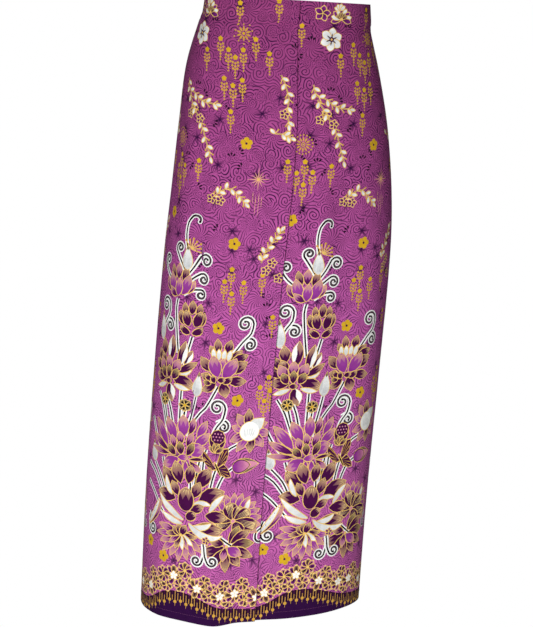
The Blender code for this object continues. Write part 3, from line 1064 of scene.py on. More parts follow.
class WornStretch:
    """A stretch of cloth as it is worn: turns places on the flat cloth into places on the body."""

    def __init__(self, stretch):
        self.stretch = stretch
        rows = cell_rows(stretch.is_band)
        self.rows = np.linspace(rows[0], rows[-1], STEPS_IN_CELL * (len(rows) - 1) + 1)
        angles = np.arange(*ROUND_THE_BODY)
        down = self.rows[:, None] / CUT_LENGTH
        depth = down * hem_depth(angles)[None, :]
        places = surface(angles[None, :], depth, 0.0)
        steps = np.linalg.norm(np.diff(places, axis=1), axis=2) * 1000.0
        round_body = np.hstack((np.zeros((len(self.rows), 1)), np.cumsum(steps, axis=1)))
        lean = stretch.lean_top + (stretch.lean_hem - stretch.lean_top) * down[:, 0]
        plumb = lap_edge(self.rows / 1000.0)
        if stretch.plumb is not None:
            plumb = np.full(len(self.rows), stretch.plumb)
        at_plumb = np.array([np.interp(angle, angles, row) for angle, row in zip(plumb, round_body)])
        across = round_body - at_plumb[:, None] + stretch.across_at_plumb + lean[:, None]
        self.left = np.array(
            [np.interp(angle, angles, row) for angle, row in zip(self.edge_angle(0), across)]
        )
        self.right = np.array(
            [np.interp(angle, angles, row) for angle, row in zip(self.edge_angle(1), across)]
        )
        self.columns = np.arange(
            self.left.min() - COLUMN_MARGIN, self.right.max() + COLUMN_MARGIN, COLUMN_STEP
        )
        self.angles = np.array([np.interp(self.columns, row, angles) for row in across])

    def edge_angle(self, side, depth=None):
        """The angle of the stretch's left or right edge at depths in metres."""
        depth = self.rows / 1000.0 if depth is None else depth
        trim = 0.5 * SEAM_GAP / BODY_RADIUS * 180.0 / math.pi
        if side == 0:
            start = self.stretch.starts
            return np.full_like(depth, start + (trim if start != UNDERLAP_END else 0.0))
        if self.stretch.ends is None:
            return lap_edge(depth)
        return np.full_like(depth, self.stretch.ends - trim)

    def angle_at(self, across, down):
        step = self.columns[1] - self.columns[0]
        column = np.clip((across - self.columns[0]) / step, 0.0, len(self.columns) - 1.001)
        row = np.clip((down - self.rows[0]) / (self.rows[1] - self.rows[0]), 0.0, len(self.rows) - 1.001)
        i, j = row.astype(int), column.astype(int)
        a, b = row - i, column - j
        grid = self.angles
        upper = grid[i, j] * (1.0 - b) + grid[i, j + 1] * b
        lower = grid[i + 1, j] * (1.0 - b) + grid[i + 1, j + 1] * b
        return upper * (1.0 - a) + lower * a

    def level(self, angle, depth):
        """How far the cloth stands out: its layer, its creases, and edges that roll in at the seams."""
        stretch = self.stretch
        wall = BAND_WALL if stretch.is_band else PANEL_WALL
        level = crease_height(angle, depth)
        if stretch.is_band:
            level = BAND_CREASE_SHARE * level + BAND_PROUD
        if stretch.is_under:
            level = level + under_level(angle, depth, wall)
        if stretch.ends is None and not stretch.is_band:
            back = (angle - lap_edge(depth)) / LIFT_FADE
            level = level + EDGE_LIFT * np.exp(-(back ** 2)) * smooth_step(*LIFT_GROWS, depth)
        for side in (0, 1):
            inside = np.abs(angle - self.edge_angle(side, depth)) * MM_PER_DEGREE
            roll = SEAM_ROLL if stretch.ends is not None or side == 0 else LAP_ROLL
            level = level - roll * np.exp(-((inside / ROLL_WIDTH) ** 2))
        return level

    def place(self, across, down):
        """Places and outward directions for spots on the flat cloth."""
        angle = self.angle_at(across, down)
        depth = down / CUT_LENGTH * hem_depth(angle)
        here = surface(angle, depth, self.level(angle, depth))
        turned, lower = angle + 0.25, depth + 0.0008
        beside = surface(turned, depth, self.level(turned, depth))
        below = surface(angle, lower, self.level(angle, lower))
        out = np.cross(below - here, beside - here)
        return here, out / np.linalg.norm(out, axis=1)[:, None]

    def thickness(self, across, down, single, turned):
        """The cloth's thickness in metres, which grows where an edge or the hem is turned in."""
        row = np.interp(down, self.rows, np.arange(len(self.rows)))
        low = np.minimum(row.astype(int), len(self.rows) - 2)
        share = row - low
        left = self.left[low] * (1.0 - share) + self.left[low + 1] * share
        right = self.right[low] * (1.0 - share) + self.right[low + 1] * share
        near = np.minimum(across - left, right - across)
        at_edge = 1.0 - smooth_step(TURNED_EDGE - 2.0, TURNED_EDGE, near)
        at_hem = smooth_step(CUT_LENGTH - TURNED_HEM, CUT_LENGTH - TURNED_HEM + 2.0, down)
        if self.stretch.is_band:
            at_edge, at_hem = np.ones_like(near), 0.0
        return single + (turned - single) * np.maximum(at_edge, at_hem)


def clipped(points, low, high):
    """The part of a polygon inside a box, cut side by side."""
    for axis in (0, 1):
        for limit, sign in ((low[axis], 1.0), (high[axis], -1.0)):
            if not len(points):
                return points
            inside = (points[:, axis] - limit) * sign
            if inside.min() >= 0.0:
                continue
            after = np.roll(points, -1, axis=0)
            inside_after = np.roll(inside, -1)
            kept = []
            for a, b, da, db in zip(points, after, inside, inside_after):
                if da >= 0.0:
                    kept.append(a)
                if (da >= 0.0) != (db >= 0.0):
                    cut = a + (b - a) * (da / (da - db))
                    cut[axis] = limit
                    kept.append(cut)
            points = np.array(kept) if kept else np.zeros((0, 2))
    return points


def holds(polygon, spots):
    """Which spots lie inside a polygon, by how often it winds round them."""
    x, y = spots[:, 0], spots[:, 1]
    count = np.zeros(len(spots), int)
    for (ax, ay), (bx, by) in zip(polygon, np.roll(polygon, -1, axis=0)):
        if ay == by:
            continue
        left = (bx - ax) * (y - ay) - (x - ax) * (by - ay)
        count += (ay <= y) & (by > y) & (left > 0)
        count -= (ay > y) & (by <= y) & (left < 0)
    return count != 0


def corners_of(outline):
    return outline.min(axis=0), outline.max(axis=0)


def crossings(polygon, axis, limit, low, high):
    """Where a polygon crosses a line of the cell grid between two ends."""
    after = np.roll(polygon, -1, axis=0)
    here, there = polygon[:, axis] - limit, after[:, axis] - limit
    cuts = (here >= 0.0) != (there >= 0.0)
    share = here[cuts] / (here[cuts] - there[cuts])
    other = 1 - axis
    values = polygon[cuts, other] + (after[cuts, other] - polygon[cuts, other]) * share
    values = np.concatenate((values, polygon[np.abs(here) < SAME_SPOT, other]))
    return values[(values > low + SAME_SPOT) & (values < high - SAME_SPOT)]


# A spot this near a line, in mm, lies on it, and corners this near each other are one
ON_LINE = 2e-4
SAME_SPOT = 1e-4
CELL_OVERLAP = 0.5
# Grid points keep this far from an edge, where two rows of points follow the edge's roll instead
EDGE_CLEAR = 4.0
EDGE_ROWS = (1.1, 2.6)
CELL_SIDE_CLEAR = 0.3
WHOLE_CELL_CLEAR = 3.0
WELD = 0.002
BACK_WELD = 0.05


class PrintCutter:
    """Cuts the flat cloth into triangles along the print's shapes, one small cell at a time."""

    def __init__(self, drawing, ground):
        self.ground = ground
        self.shapes = []
        for shape in drawing.shapes:
            for shift in (-2.0 * REPEAT, -REPEAT, 0.0, REPEAT, 2.0 * REPEAT):
                points = shape.points + (shift, 0.0)
                low, high = corners_of(points)
                if high[0] > -CELL_WIDTH and low[0] < REPEAT + CELL_WIDTH:
                    self.shapes.append((low, high, points, shape, shift))
        self.lows = np.array([entry[0] for entry in self.shapes])
        self.highs = np.array([entry[1] for entry in self.shapes])
        self.seen = {}
        self.ready = {}

    def near(self, low, high):
        """The shapes that reach into a box of the repeat, in the order that they lie."""
        found = np.all(self.highs > low, axis=1) & np.all(self.lows < high, axis=1)
        return np.flatnonzero(found)

    def showing(self, column, low, high):
        """The shapes of a cell that are not wholly covered by later ones; the column is -1 to 6."""
        key = (column, round(low[1] * 10.0))
        if key not in self.seen:
            if 0 <= column < CELL_COLUMNS:
                outline, spots = cell_grid(low, high)
                near = self.near(low, high)
                polygons = self.clipped_shapes(near, low, high)
                places, triangles = triangulated(outline, spots, polygons.values())
                top = self.topmost(near, polygons, places[triangles].mean(axis=1))
                self.seen[key] = [i for i in near if i in set(top)]
            else:
                turn = -1 if column < 0 else 1
                moved = turn * REPEAT
                inner = self.showing(column - turn * CELL_COLUMNS, low - (moved, 0.0), high - (moved, 0.0))
                names = {(id(self.shapes[i][3]), self.shapes[i][4] + moved) for i in inner}
                near = self.near(low, high)
                self.seen[key] = [i for i in near if (id(self.shapes[i][3]), self.shapes[i][4]) in names]
        return self.seen[key]

    def clipped_shapes(self, chosen, low, high):
        """The parts of chosen shapes that lie in a cell or a little beyond it."""
        low, high = low - CELL_OVERLAP, high + CELL_OVERLAP
        return {i: clipped(self.shapes[i][2], low, high) for i in chosen}

    def topmost(self, chosen, polygons, middles):
        """The shape that shows at each place, or -1 where the ground does."""
        top = np.full(len(middles), -1)
        for i in chosen:
            if len(polygons[i]) > 2:
                top[holds(polygons[i], middles)] = i
        return top

    def shared_points(self, column, low, high):
        """Where shapes cross the cell's four sides, the same seen from the cells on either side."""
        chosen = set(self.showing(column, low, high))
        width, height = high - low
        points = []
        for side, limit in ((-1, low[0]), (1, high[0])):
            beside = self.showing(column + side, low + (side * width, 0.0), high + (side * width, 0.0))
            for i in chosen.union(beside):
                points.extend((limit, y) for y in crossings(self.shapes[i][2], 0, limit, low[1], high[1]))
        for side, limit in ((-1, low[1]), (1, high[1])):
            other = (low[1] - height, low[1]) if side < 0 else (high[1], high[1] + height)
            if other[0] < BAND_FOOT - 0.01 or other[1] > CUT_LENGTH + 0.01:
                beside = []
            else:
                beside = self.showing(column, np.array((low[0], other[0])), np.array((high[0], other[1])))
            for i in chosen.union(beside):
                points.extend((x, limit) for x in crossings(self.shapes[i][2], 1, limit, low[0], high[0]))
        return np.array(points).reshape(-1, 2)

    def cut(self, column, low, high, outline, spots):
        """Triangles of one cell: corners on the flat cloth, and dyes whose fourth value says printed."""
        turn = column // CELL_COLUMNS
        moved = np.array((turn * REPEAT, 0.0))
        column = column % CELL_COLUMNS
        low, high, outline = low - moved, high - moved, outline - moved
        spots = spots - moved if len(spots) else spots
        chosen = self.showing(column, low, high)
        polygons = self.clipped_shapes(chosen, low, high)
        outline = lining_up(outline, self.shared_points(column, low, high))
        places, triangles = triangulated(outline, spots, polygons.values())
        top = self.topmost(chosen, polygons, places[triangles].mean(axis=1))
        places, triangles = triangulated(outline, spots, (), places, borders(triangles, top))
        corners = places[triangles]
        top = self.topmost(chosen, polygons, corners.mean(axis=1))
        dye = np.empty((len(triangles), 3, 4))
        dye[:, :, 3] = 0.0
        plain = top < 0
        dye[plain, :, :3] = self.ground(corners[plain])
        for i in set(top[top >= 0]):
            worn = top == i
            shape, shift = self.shapes[i][3], self.shapes[i][4]
            away = corners[worn] - (shape.start + (shift, 0.0))
            share = np.clip(away @ shape.reach / (shape.reach @ shape.reach), 0.0, 1.0)
            dye[worn, :, :3] = shape.first + (shape.last - shape.first) * share[..., None]
            dye[worn, :, 3] = 1.0
        return corners + moved, dye

    def whole_cell(self, column, low, high):
        """A full cell of the repeat, cut once and then reused."""
        key = (column % CELL_COLUMNS, round(low[1] * 10.0))
        moved = (column // CELL_COLUMNS) * REPEAT
        if key not in self.ready:
            outline, spots = cell_grid(low - (moved, 0.0), high - (moved, 0.0))
            self.ready[key] = self.cut(
                column % CELL_COLUMNS, low - (moved, 0.0), high - (moved, 0.0), outline, spots
            )
        corners, dye = self.ready[key]
        return corners + (moved, 0.0), dye


def borders(triangles, top):
    """The sides at which one shape stops showing and another starts, so that hidden cuts can go."""
    sides = np.sort(np.vstack((triangles[:, (0, 1)], triangles[:, (1, 2)], triangles[:, (2, 0)])), axis=1)
    owner = np.tile(top, 3)
    order = np.lexsort((sides[:, 1], sides[:, 0]))
    sides, owner = sides[order], owner[order]
    same = np.all(sides[1:] == sides[:-1], axis=1)
    return sides[1:][same & (owner[1:] != owner[:-1])]


def triangulated(outline, spots, polygons, places=(), sides=()):
    """Triangles inside an outline, cut along polygons and along further sides between places."""
    points = []
    edges = []
    for polygon in [outline] + list(polygons):
        if len(polygon) < 3:
            continue
        first = len(points)
        count = len(polygon)
        points.extend(polygon.tolist())
        edges.extend((first + k, first + (k + 1) % count) for k in range(count))
    if len(sides):
        used, renamed = np.unique(sides, return_inverse=True)
        edges.extend(map(tuple, (renamed.reshape(-1, 2) + len(points)).tolist()))
        points.extend(places[used].tolist())
    points.extend(spots.tolist())
    found = delaunay_2d_cdt([Vector(p) for p in points], edges, [], 0, 1e-5, False)
    places = np.array([(p[0], p[1]) for p in found[0]])
    triangles = np.array([face for face in found[2] if len(face) == 3])
    ours = holds(outline, places[triangles].mean(axis=1))
    return places, triangles[ours]


def cell_grid(low, high):
    """A cell's outline with a point at every step, and the points of the grid inside it."""
    xs = np.linspace(low[0], high[0], STEPS_IN_CELL + 1)
    ys = np.linspace(low[1], high[1], STEPS_IN_CELL + 1)
    outline = [(x, ys[0]) for x in xs[:-1]] + [(xs[-1], y) for y in ys[:-1]]
    outline += [(x, ys[-1]) for x in xs[:0:-1]] + [(xs[0], y) for y in ys[:0:-1]]
    spots = [(x, y) for x in xs[1:-1] for y in ys[1:-1]]
    return np.array(outline), np.array(spots)


def edge_cell(worn, first_row, low, high):
    """A cell that the stretch's edge crosses: its outline, and the points inside it."""
    rows = slice(first_row, first_row + STEPS_IN_CELL + 1)
    downs, left, right = worn.rows[rows], worn.left[rows], worn.right[rows]
    xs = np.linspace(low[0], high[0], STEPS_IN_CELL + 1)
    along = np.column_stack((right, downs))
    back = np.column_stack((left, downs))[::-1]
    strip = clipped(np.vstack((along, back)), (low[0], low[1] - 1.0), (high[0], high[1] + 1.0))
    if len(strip) < 3:
        return None, None
    keep = np.linalg.norm(strip - np.roll(strip, 1, axis=0), axis=1) > 1e-7
    strip = strip[keep]
    if len(strip) < 3:
        return None, None
    outline = []
    for a, b in zip(strip, np.roll(strip, -1, axis=0)):
        outline.append(a)
        if abs(a[1] - b[1]) < 1e-7 and (abs(a[1] - low[1]) < 1e-7 or abs(a[1] - high[1]) < 1e-7):
            inside = [x for x in xs if min(a[0], b[0]) + 1e-6 < x < max(a[0], b[0]) - 1e-6]
            outline.extend(np.array((x, a[1])) for x in (inside if b[0] > a[0] else inside[::-1]))
        if abs(a[0] - b[0]) < 1e-7 and (abs(a[0] - low[0]) < 1e-7 or abs(a[0] - high[0]) < 1e-7):
            inside = [y for y in downs if min(a[1], b[1]) + 1e-6 < y < max(a[1], b[1]) - 1e-6]
            outline.extend(np.array((a[0], y)) for y in (inside if b[1] > a[1] else inside[::-1]))
    outline = np.array(outline)
    spots = []
    for x in xs[1:-1]:
        for y, from_left, to_right in zip(downs[1:-1], left[1:-1], right[1:-1]):
            if from_left + EDGE_CLEAR < x < to_right - EDGE_CLEAR:
                spots.append((x, y))
    for inset in EDGE_ROWS:
        for y, from_left, to_right in zip(downs[1:-1], left[1:-1], right[1:-1]):
            for x in (from_left + inset, to_right - inset):
                if low[0] + CELL_SIDE_CLEAR < x < high[0] - CELL_SIDE_CLEAR:
                    spots.append((x, y))
    return outline, np.array(spots).reshape(-1, 2)


def on_stretch_edge(worn, spots):
    """Which spots lie on the outer edge of the whole stretch."""
    left = np.interp(spots[:, 1], worn.rows, worn.left)
    right = np.interp(spots[:, 1], worn.rows, worn.right)
    return (
        (np.abs(spots[:, 0] - left) < ON_LINE)
        | (np.abs(spots[:, 0] - right) < ON_LINE)
        | (np.abs(spots[:, 1] - worn.rows[0]) < ON_LINE)
        | (np.abs(spots[:, 1] - worn.rows[-1]) < ON_LINE)
    )


def lining_up(outline, extra):
    """The outline with further points put in where they lie on its sides."""
    full = []
    for a, b in zip(outline, np.roll(outline, -1, axis=0)):
        run = b - a
        size = float(run @ run)
        along = (extra - a) @ run / size
        aside = np.abs((extra[:, 0] - a[0]) * run[1] - (extra[:, 1] - a[1]) * run[0]) / math.sqrt(size)
        found = (aside < ON_LINE) & (along > 1e-5) & (along < 1.0 - 1e-5)
        full.append(a)
        for k in np.argsort(along[found]):
            spot = extra[found][k]
            if np.linalg.norm(spot - full[-1]) > SAME_SPOT:
                full.append(spot)
    return np.array(full)


def cut_stretch(worn, cutter):
    """Cuts a whole stretch: its printed face, and the plainer reverse that meets it round the edge."""
    face_corners, face_dye, back_corners = [], [], []
    rows = cell_rows(worn.stretch.is_band)
    first = int(math.floor(worn.left.min() / CELL_WIDTH))
    last = int(math.ceil(worn.right.max() / CELL_WIDTH))
    for r, (top, foot) in enumerate(zip(rows, rows[1:])):
        part = slice(STEPS_IN_CELL * r, STEPS_IN_CELL * (r + 1) + 1)
        for column in range(first, last):
            low = np.array((column * CELL_WIDTH, top))
            high = np.array(((column + 1) * CELL_WIDTH, foot))
            if low[0] >= worn.right[part].max() or high[0] <= worn.left[part].min():
                continue
            from_left = low[0] - worn.left[part].max()
            to_right = worn.right[part].min() - high[0]
            if min(from_left, to_right) >= WHOLE_CELL_CLEAR:
                outline, spots = cell_grid(low, high)
                corners, dye = cutter.whole_cell(column, low, high)
            else:
                outline, spots = edge_cell(worn, STEPS_IN_CELL * r, low, high)
                if outline is None:
                    continue
                corners, dye = cutter.cut(column, low, high, outline, spots)
            face_corners.append(corners)
            face_dye.append(dye)
            flat = corners.reshape(-1, 2)
            rim = np.unique(np.round(flat[on_stretch_edge(worn, flat)], 6), axis=0)
            if len(rim):
                outline = lining_up(outline, rim)
            places, triangles = triangulated(outline, spots, [])
            back_corners.append(places[triangles])
    return np.vstack(face_corners), np.vstack(face_dye), np.vstack(back_corners)


def flat_mesh(name, corners, back_corners, dye, ground):
    """The flat stretch as one closed shell in mm: the printed face at 0, its reverse one below."""
    def merged(spots):
        keys = np.round(spots.reshape(-1, 2) * 1000.0).astype(np.int64)
        _, first, where = np.unique(keys, axis=0, return_index=True, return_inverse=True)
        return spots.reshape(-1, 2)[first], where.reshape(-1, 3)

    face_spots, faces = merged(corners)
    back_spots, backs = merged(back_corners)
    spots = np.vstack((
        np.column_stack((face_spots, np.zeros(len(face_spots)))),
        np.column_stack((back_spots, np.full(len(back_spots), -1.0))),
    ))
    whole = np.vstack((faces, backs[:, ::-1] + len(face_spots)))
    colours = np.vstack((dye.reshape(-1, 4), np.ones((backs.size, 4))))
    proper = (whole[:, 0] != whole[:, 1]) & (whole[:, 1] != whole[:, 2]) & (whole[:, 0] != whole[:, 2])
    mesh = bpy.data.meshes.new(name)
    mesh.from_pydata(spots.tolist(), [], whole[proper].tolist())
    layer = mesh.color_attributes.new("dye", "BYTE_COLOR", "CORNER")
    layer.data.foreach_set("color_srgb", colours.reshape(-1, 3, 4)[proper].ravel())
    work = bmesh.new()
    work.from_mesh(mesh)
    bmesh.ops.remove_doubles(work, verts=work.verts, dist=WELD)
    rim = [e for e in work.edges if e.is_boundary and e.verts[0].co.z > -0.5]
    made = bmesh.ops.extrude_edge_only(work, edges=rim)["geom"]
    for part in made:
        if isinstance(part, bmesh.types.BMVert):
            part.co.z = -1.0
    close_back(work)
    ink = work.loops.layers.color["dye"]
    for face in work.faces:
        heights = {round(v.co.z) for v in face.verts}
        if len(heights) > 1:
            for loop in face.loops:
                tone = ground(np.array((loop.vert.co.x, loop.vert.co.y)))
                loop[ink] = (*tone, 0.0)
        face.material_index = 1 if heights == {-1} else 0
    work.to_mesh(mesh)
    work.free()
    return mesh


def close_back(work):
    """Joins the reverse to the rim, with a new point wherever one has a corner that the other lacks."""
    back = [vert for vert in work.verts if vert.co.z < -0.5]
    bmesh.ops.remove_doubles(work, verts=back, dist=BACK_WELD)
    open_sides = [edge for edge in work.edges if edge.is_boundary]
    loose = {vert for edge in open_sides for vert in edge.verts}
    for edge in open_sides:
        start, end = (vert.co.copy() for vert in edge.verts)
        run = end - start
        found = []
        for vert in loose:
            share = (vert.co - start).dot(run) / run.length_squared
            aside = (vert.co - start - run * share).length
            if 0.0 < share < 1.0 and aside < BACK_WELD and vert not in edge.verts:
                found.append((share, vert.co.copy()))
        first = edge.verts[0]
        last = 0.0
        for share, place in sorted(found, key=lambda pair: pair[0]):
            edge, made = bmesh.utils.edge_split(edge, first, (share - last) / (1.0 - last))
            made.co = place
            first, last = made, share
            edge = next(
                e for e in made.link_edges if e.is_boundary and (e.other_vert(made).co - end).length < 1e-6
            )
    back = [vert for vert in work.verts if vert.co.z < -0.5]
    bmesh.ops.remove_doubles(work, verts=back, dist=BACK_WELD)
    bmesh.ops.triangulate(work, faces=[face for face in work.faces if len(face.verts) > 4])


# The print's map: one metre of cloth is one unit wide, and the reverse lies small at its right
MAP_MARGIN = 0.01
FACE_MAP_HEIGHT = 0.98
BACK_MAP_SIZE = 0.4
BACK_MAP_LEFT = 0.66


def map_print(mesh, across, down, is_back, loops):
    """Gives each point its place on the flat cloth, and a map with the reverse small beside the face."""
    where = mesh.attributes.new("cloth", "FLOAT_VECTOR", "POINT")
    metres = np.column_stack((across, down, np.zeros(len(across)))) / 1000.0
    where.data.foreach_set("vector", metres.ravel())
    layout = mesh.uv_layers.new(name="print_map")
    from_left = (across - across.min()) / 1000.0
    below = down / 1000.0
    flat_map = np.column_stack((from_left + MAP_MARGIN, 1.0 - MAP_MARGIN - below * FACE_MAP_HEIGHT))
    small = np.column_stack(
        (from_left * BACK_MAP_SIZE + BACK_MAP_LEFT, 1.0 - MAP_MARGIN - below * BACK_MAP_SIZE)
    )
    chosen = np.where(is_back[loops][:, None], small[loops], flat_map[loops])
    layout.data.foreach_set("uv", chosen.ravel())


def worn_sheet(name, worn, cutter, single, turned, materials):
    """A stretch of printed cloth with its thickness, cut along its print and laid on the body's form."""
    corners, dye, back_corners = cut_stretch(worn, cutter)
    mesh = flat_mesh(name, corners, back_corners, dye, cutter.ground)
    count = len(mesh.vertices)
    flat = np.empty(count * 3)
    mesh.vertices.foreach_get("co", flat)
    flat = flat.reshape(-1, 3)
    across, down, is_back = flat[:, 0], flat[:, 1], flat[:, 2] < -0.5
    places, out = worn.place(across, down)
    thick = worn.thickness(across, down, single, turned)
    places -= out * (thick * is_back)[:, None]
    mesh.vertices.foreach_set("co", places.ravel())
    mesh.update()
    normals = np.empty(len(mesh.polygons) * 3)
    mesh.polygons.foreach_get("normal", normals)
    facing = np.empty(len(mesh.polygons), int)
    mesh.polygons.foreach_get("material_index", facing)
    firsts = np.empty(len(mesh.polygons), int)
    mesh.polygons.foreach_get("loop_start", firsts)
    loops = np.empty(len(mesh.loops), int)
    mesh.loops.foreach_get("vertex_index", loops)
    agree = np.sum(normals.reshape(-1, 3) * out[loops[firsts]], axis=1)
    if np.median(agree[facing == 0]) < 0.0:
        mesh.flip_normals()
        mesh.loops.foreach_get("vertex_index", loops)
    map_print(mesh, across, down, is_back, loops)
    for material in materials:
        mesh.materials.append(material)
    mesh.shade_smooth()
    mesh.normals_split_custom_set_from_vertices((out * np.where(is_back, -1.0, 1.0)[:, None]).tolist())
    piece = bpy.data.objects.new(name, mesh)
    bpy.context.collection.objects.link(piece)
    widths = worn.right - worn.left
    size = (float(widths.max()) / 1000.0, float(worn.rows[-1] - worn.rows[0]) / 1000.0)
    area = float(0.5 * (widths[1:] + widths[:-1]) @ np.diff(worn.rows)) / 1e6
    return piece, size, area


def linear(text):
    """An sRGB hex colour as linear values."""
    return tuple(c / 12.92 if c <= 0.04045 else ((c + 0.055) / 1.055) ** 2.4 for c in shade(text)) + (1.0,)


def add_node(tree, kind, inputs, **fields):
    """Adds a node, sets its fields, and gives each input a value or a link from another node's socket."""
    made = tree.nodes.new(kind)
    for field, value in fields.items():
        setattr(made, field, value)
    for socket, value in inputs.items():
        if isinstance(value, bpy.types.NodeSocket):
            tree.links.new(value, made.inputs[socket])
        else:
            made.inputs[socket].default_value = value
    return made


def maths(tree, operation, *values):
    """The result of a sum on numbers and sockets."""
    return add_node(tree, "ShaderNodeMath", dict(enumerate(values)), operation=operation).outputs[0]


def vector_maths(tree, operation, *values):
    """The result of a sum on vectors and sockets."""
    return add_node(tree, "ShaderNodeVectorMath", dict(enumerate(values)), operation=operation).outputs[0]


def remapped(tree, value, low, high, at_low=0.0, at_high=1.0):
    """A value read on another scale, which it doesn't leave at either end."""
    scale = {"Value": value, "From Min": low, "From Max": high, "To Min": at_low, "To Max": at_high}
    return add_node(tree, "ShaderNodeMapRange", scale).outputs[0]


def tones_between(tree, value, tones_used, low=0.0, high=1.0):
    """A colour that runs from one tone to another as a value rises."""
    tones = add_node(tree, "ShaderNodeValToRGB", {0: value})
    for stop, place, tone in zip(tones.color_ramp.elements, (low, high), tones_used):
        stop.position = place
        stop.color = tone
    return tones.outputs[0]


def new_material(name, settings):
    material = bpy.data.materials.new(name)
    material.use_nodes = True
    tree = material.node_tree
    shader = tree.nodes["Principled BSDF"]
    for socket, value in settings.items():
        shader.inputs[socket].default_value = value
    return material, tree, shader


COTTON = {
    "Roughness": 0.85, "IOR": 1.46, "Specular IOR Level": 0.1, "Sheen Weight": 0.003,
    "Sheen Roughness": 0.5
}
# Real cambric has a thread every 0.35 mm. It is drawn at 1.1 mm so that the weave shows up close.
THREAD_SPACING = 0.0011
THREAD_HEIGHT = 0.0002
WEAVE_STRENGTH = 0.35


def weave(tree, cloth):
    """The over and under of a plain weave as a soft bump."""
    turns = 2.0 * math.pi / THREAD_SPACING
    waves = vector_maths(tree, "SINE", vector_maths(tree, "MULTIPLY", cloth, (turns, turns, turns)))
    parts = add_node(tree, "ShaderNodeSeparateXYZ", {0: waves})
    height = maths(tree, "MULTIPLY", parts.outputs[0], parts.outputs[1])
    bump = {"Strength": WEAVE_STRENGTH, "Distance": THREAD_HEIGHT, "Height": height}
    return add_node(tree, "ShaderNodeBump", bump).outputs[0]


def band_of(tree, value, half):
    """A mask that is 1 where a value's fraction lies within half of the middle, with a soft side."""
    part = maths(tree, "FRACT", value)
    away = maths(tree, "ABSOLUTE", maths(tree, "SUBTRACT", part, 0.5))
    return remapped(tree, away, half * 1.5, half * 0.7)


# The tonal motifs that fill the ground: how many fit in a metre, the spiral arms of each, its lobes and
# how deep they are, its rings, its size as a share of the spacing, and the share of places that have one
Motif = namedtuple("Motif", "per_metre arms lobes dip rings reach share")
TONAL_MOTIFS = (
    Motif(44.0, 1.0, 0.0, 0.0, 5.0, 3.00, 1.00),
    Motif(25.0, 17.0, 0.0, 0.0, 5.0, 0.52, 0.50),
    Motif(50.0, 1.0, 6.0, 0.20, 7.0, 0.46, 0.35),
    Motif(90.0, 1.0, 0.0, 0.0, 4.0, 0.46, 0.25),
)
DARK_STAR = Motif(30.0, 0.0, 6.0, 0.5, 0.0, 0.24, 0.28)
LINE_HALF = 0.15
SPREAD = 0.85
# The lines wander by a few mm, and are fainter in patches
WANDER_SCALE = 42.0
WANDER = (0.009, 0.009, 0.0)
PATCH_SCALE = 20.0
FAINTEST = 0.75


def motif_place(tree, cloth, motif):
    """For a motif: the lobed distance from its middle, the turn round it, and whether it is there."""
    spread = {"Vector": cloth, "Scale": motif.per_metre, "Randomness": SPREAD}
    cells = add_node(tree, "ShaderNodeTexVoronoi", spread, voronoi_dimensions="2D")
    away = vector_maths(tree, "SUBTRACT", cloth, cells.outputs["Position"])
    parts = add_node(tree, "ShaderNodeSeparateXYZ", {0: away})
    turn = maths(tree, "ARCTAN2", parts.outputs[1], parts.outputs[0])
    chance = add_node(tree, "ShaderNodeSeparateColor", {0: cells.outputs["Color"]})
    tilted = maths(tree, "MULTIPLY_ADD", chance.outputs[1], 2.0 * math.pi, turn)
    wave = maths(tree, "COSINE", maths(tree, "MULTIPLY", tilted, motif.lobes))
    stretch = maths(tree, "MULTIPLY_ADD", wave, motif.dip, 1.0)
    out = maths(tree, "MULTIPLY", cells.outputs["Distance"], stretch)
    there = maths(tree, "LESS_THAN", chance.outputs[0], motif.share)
    return out, tilted, there


def tonal_drawing(tree, cloth):
    """Fine tonal line work on the ground: scrolls, fans of leaves, roses and soft dark stars."""
    bend = add_node(tree, "ShaderNodeTexNoise", {"Vector": cloth, "Scale": WANDER_SCALE, "Detail": 1.0})
    centred = vector_maths(tree, "SUBTRACT", bend.outputs["Color"], (0.5, 0.5, 0.5))
    bent = vector_maths(tree, "MULTIPLY_ADD", centred, WANDER, cloth)
    lines = None
    for motif in TONAL_MOTIFS:
        out, turn, there = motif_place(tree, bent, motif)
        round_part = maths(tree, "MULTIPLY", turn, motif.arms / (2.0 * math.pi))
        rings = maths(tree, "MULTIPLY_ADD", out, motif.rings, round_part)
        drawn = band_of(tree, rings, LINE_HALF)
        shown = maths(tree, "MULTIPLY", maths(tree, "LESS_THAN", out, motif.reach), there)
        drawn = maths(tree, "MULTIPLY", drawn, shown)
        if lines is None:
            lines = drawn
        else:
            clear = maths(tree, "SUBTRACT", 1.0, shown)
            lines = maths(tree, "MULTIPLY_ADD", lines, clear, drawn)
    patches = add_node(tree, "ShaderNodeTexNoise", {"Vector": cloth, "Scale": PATCH_SCALE, "Detail": 1.0})
    depth = remapped(tree, patches.outputs[0], 0.40, 0.62, FAINTEST, 1.0)
    lines = maths(tree, "MULTIPLY", lines, depth)
    out, turn, there = motif_place(tree, bent, DARK_STAR)
    soft = remapped(tree, out, DARK_STAR.reach, 0.05)
    return maths(tree, "MAXIMUM", lines, maths(tree, "MULTIPLY", soft, there))


# How strongly the tonal drawing shows, and how uneven the dye is
TONAL_AT_WAIST = 1.0
TONAL_AT_HEM = 0.90
TONAL_ON_REVERSE = 0.3
MOTTLING = 0.14


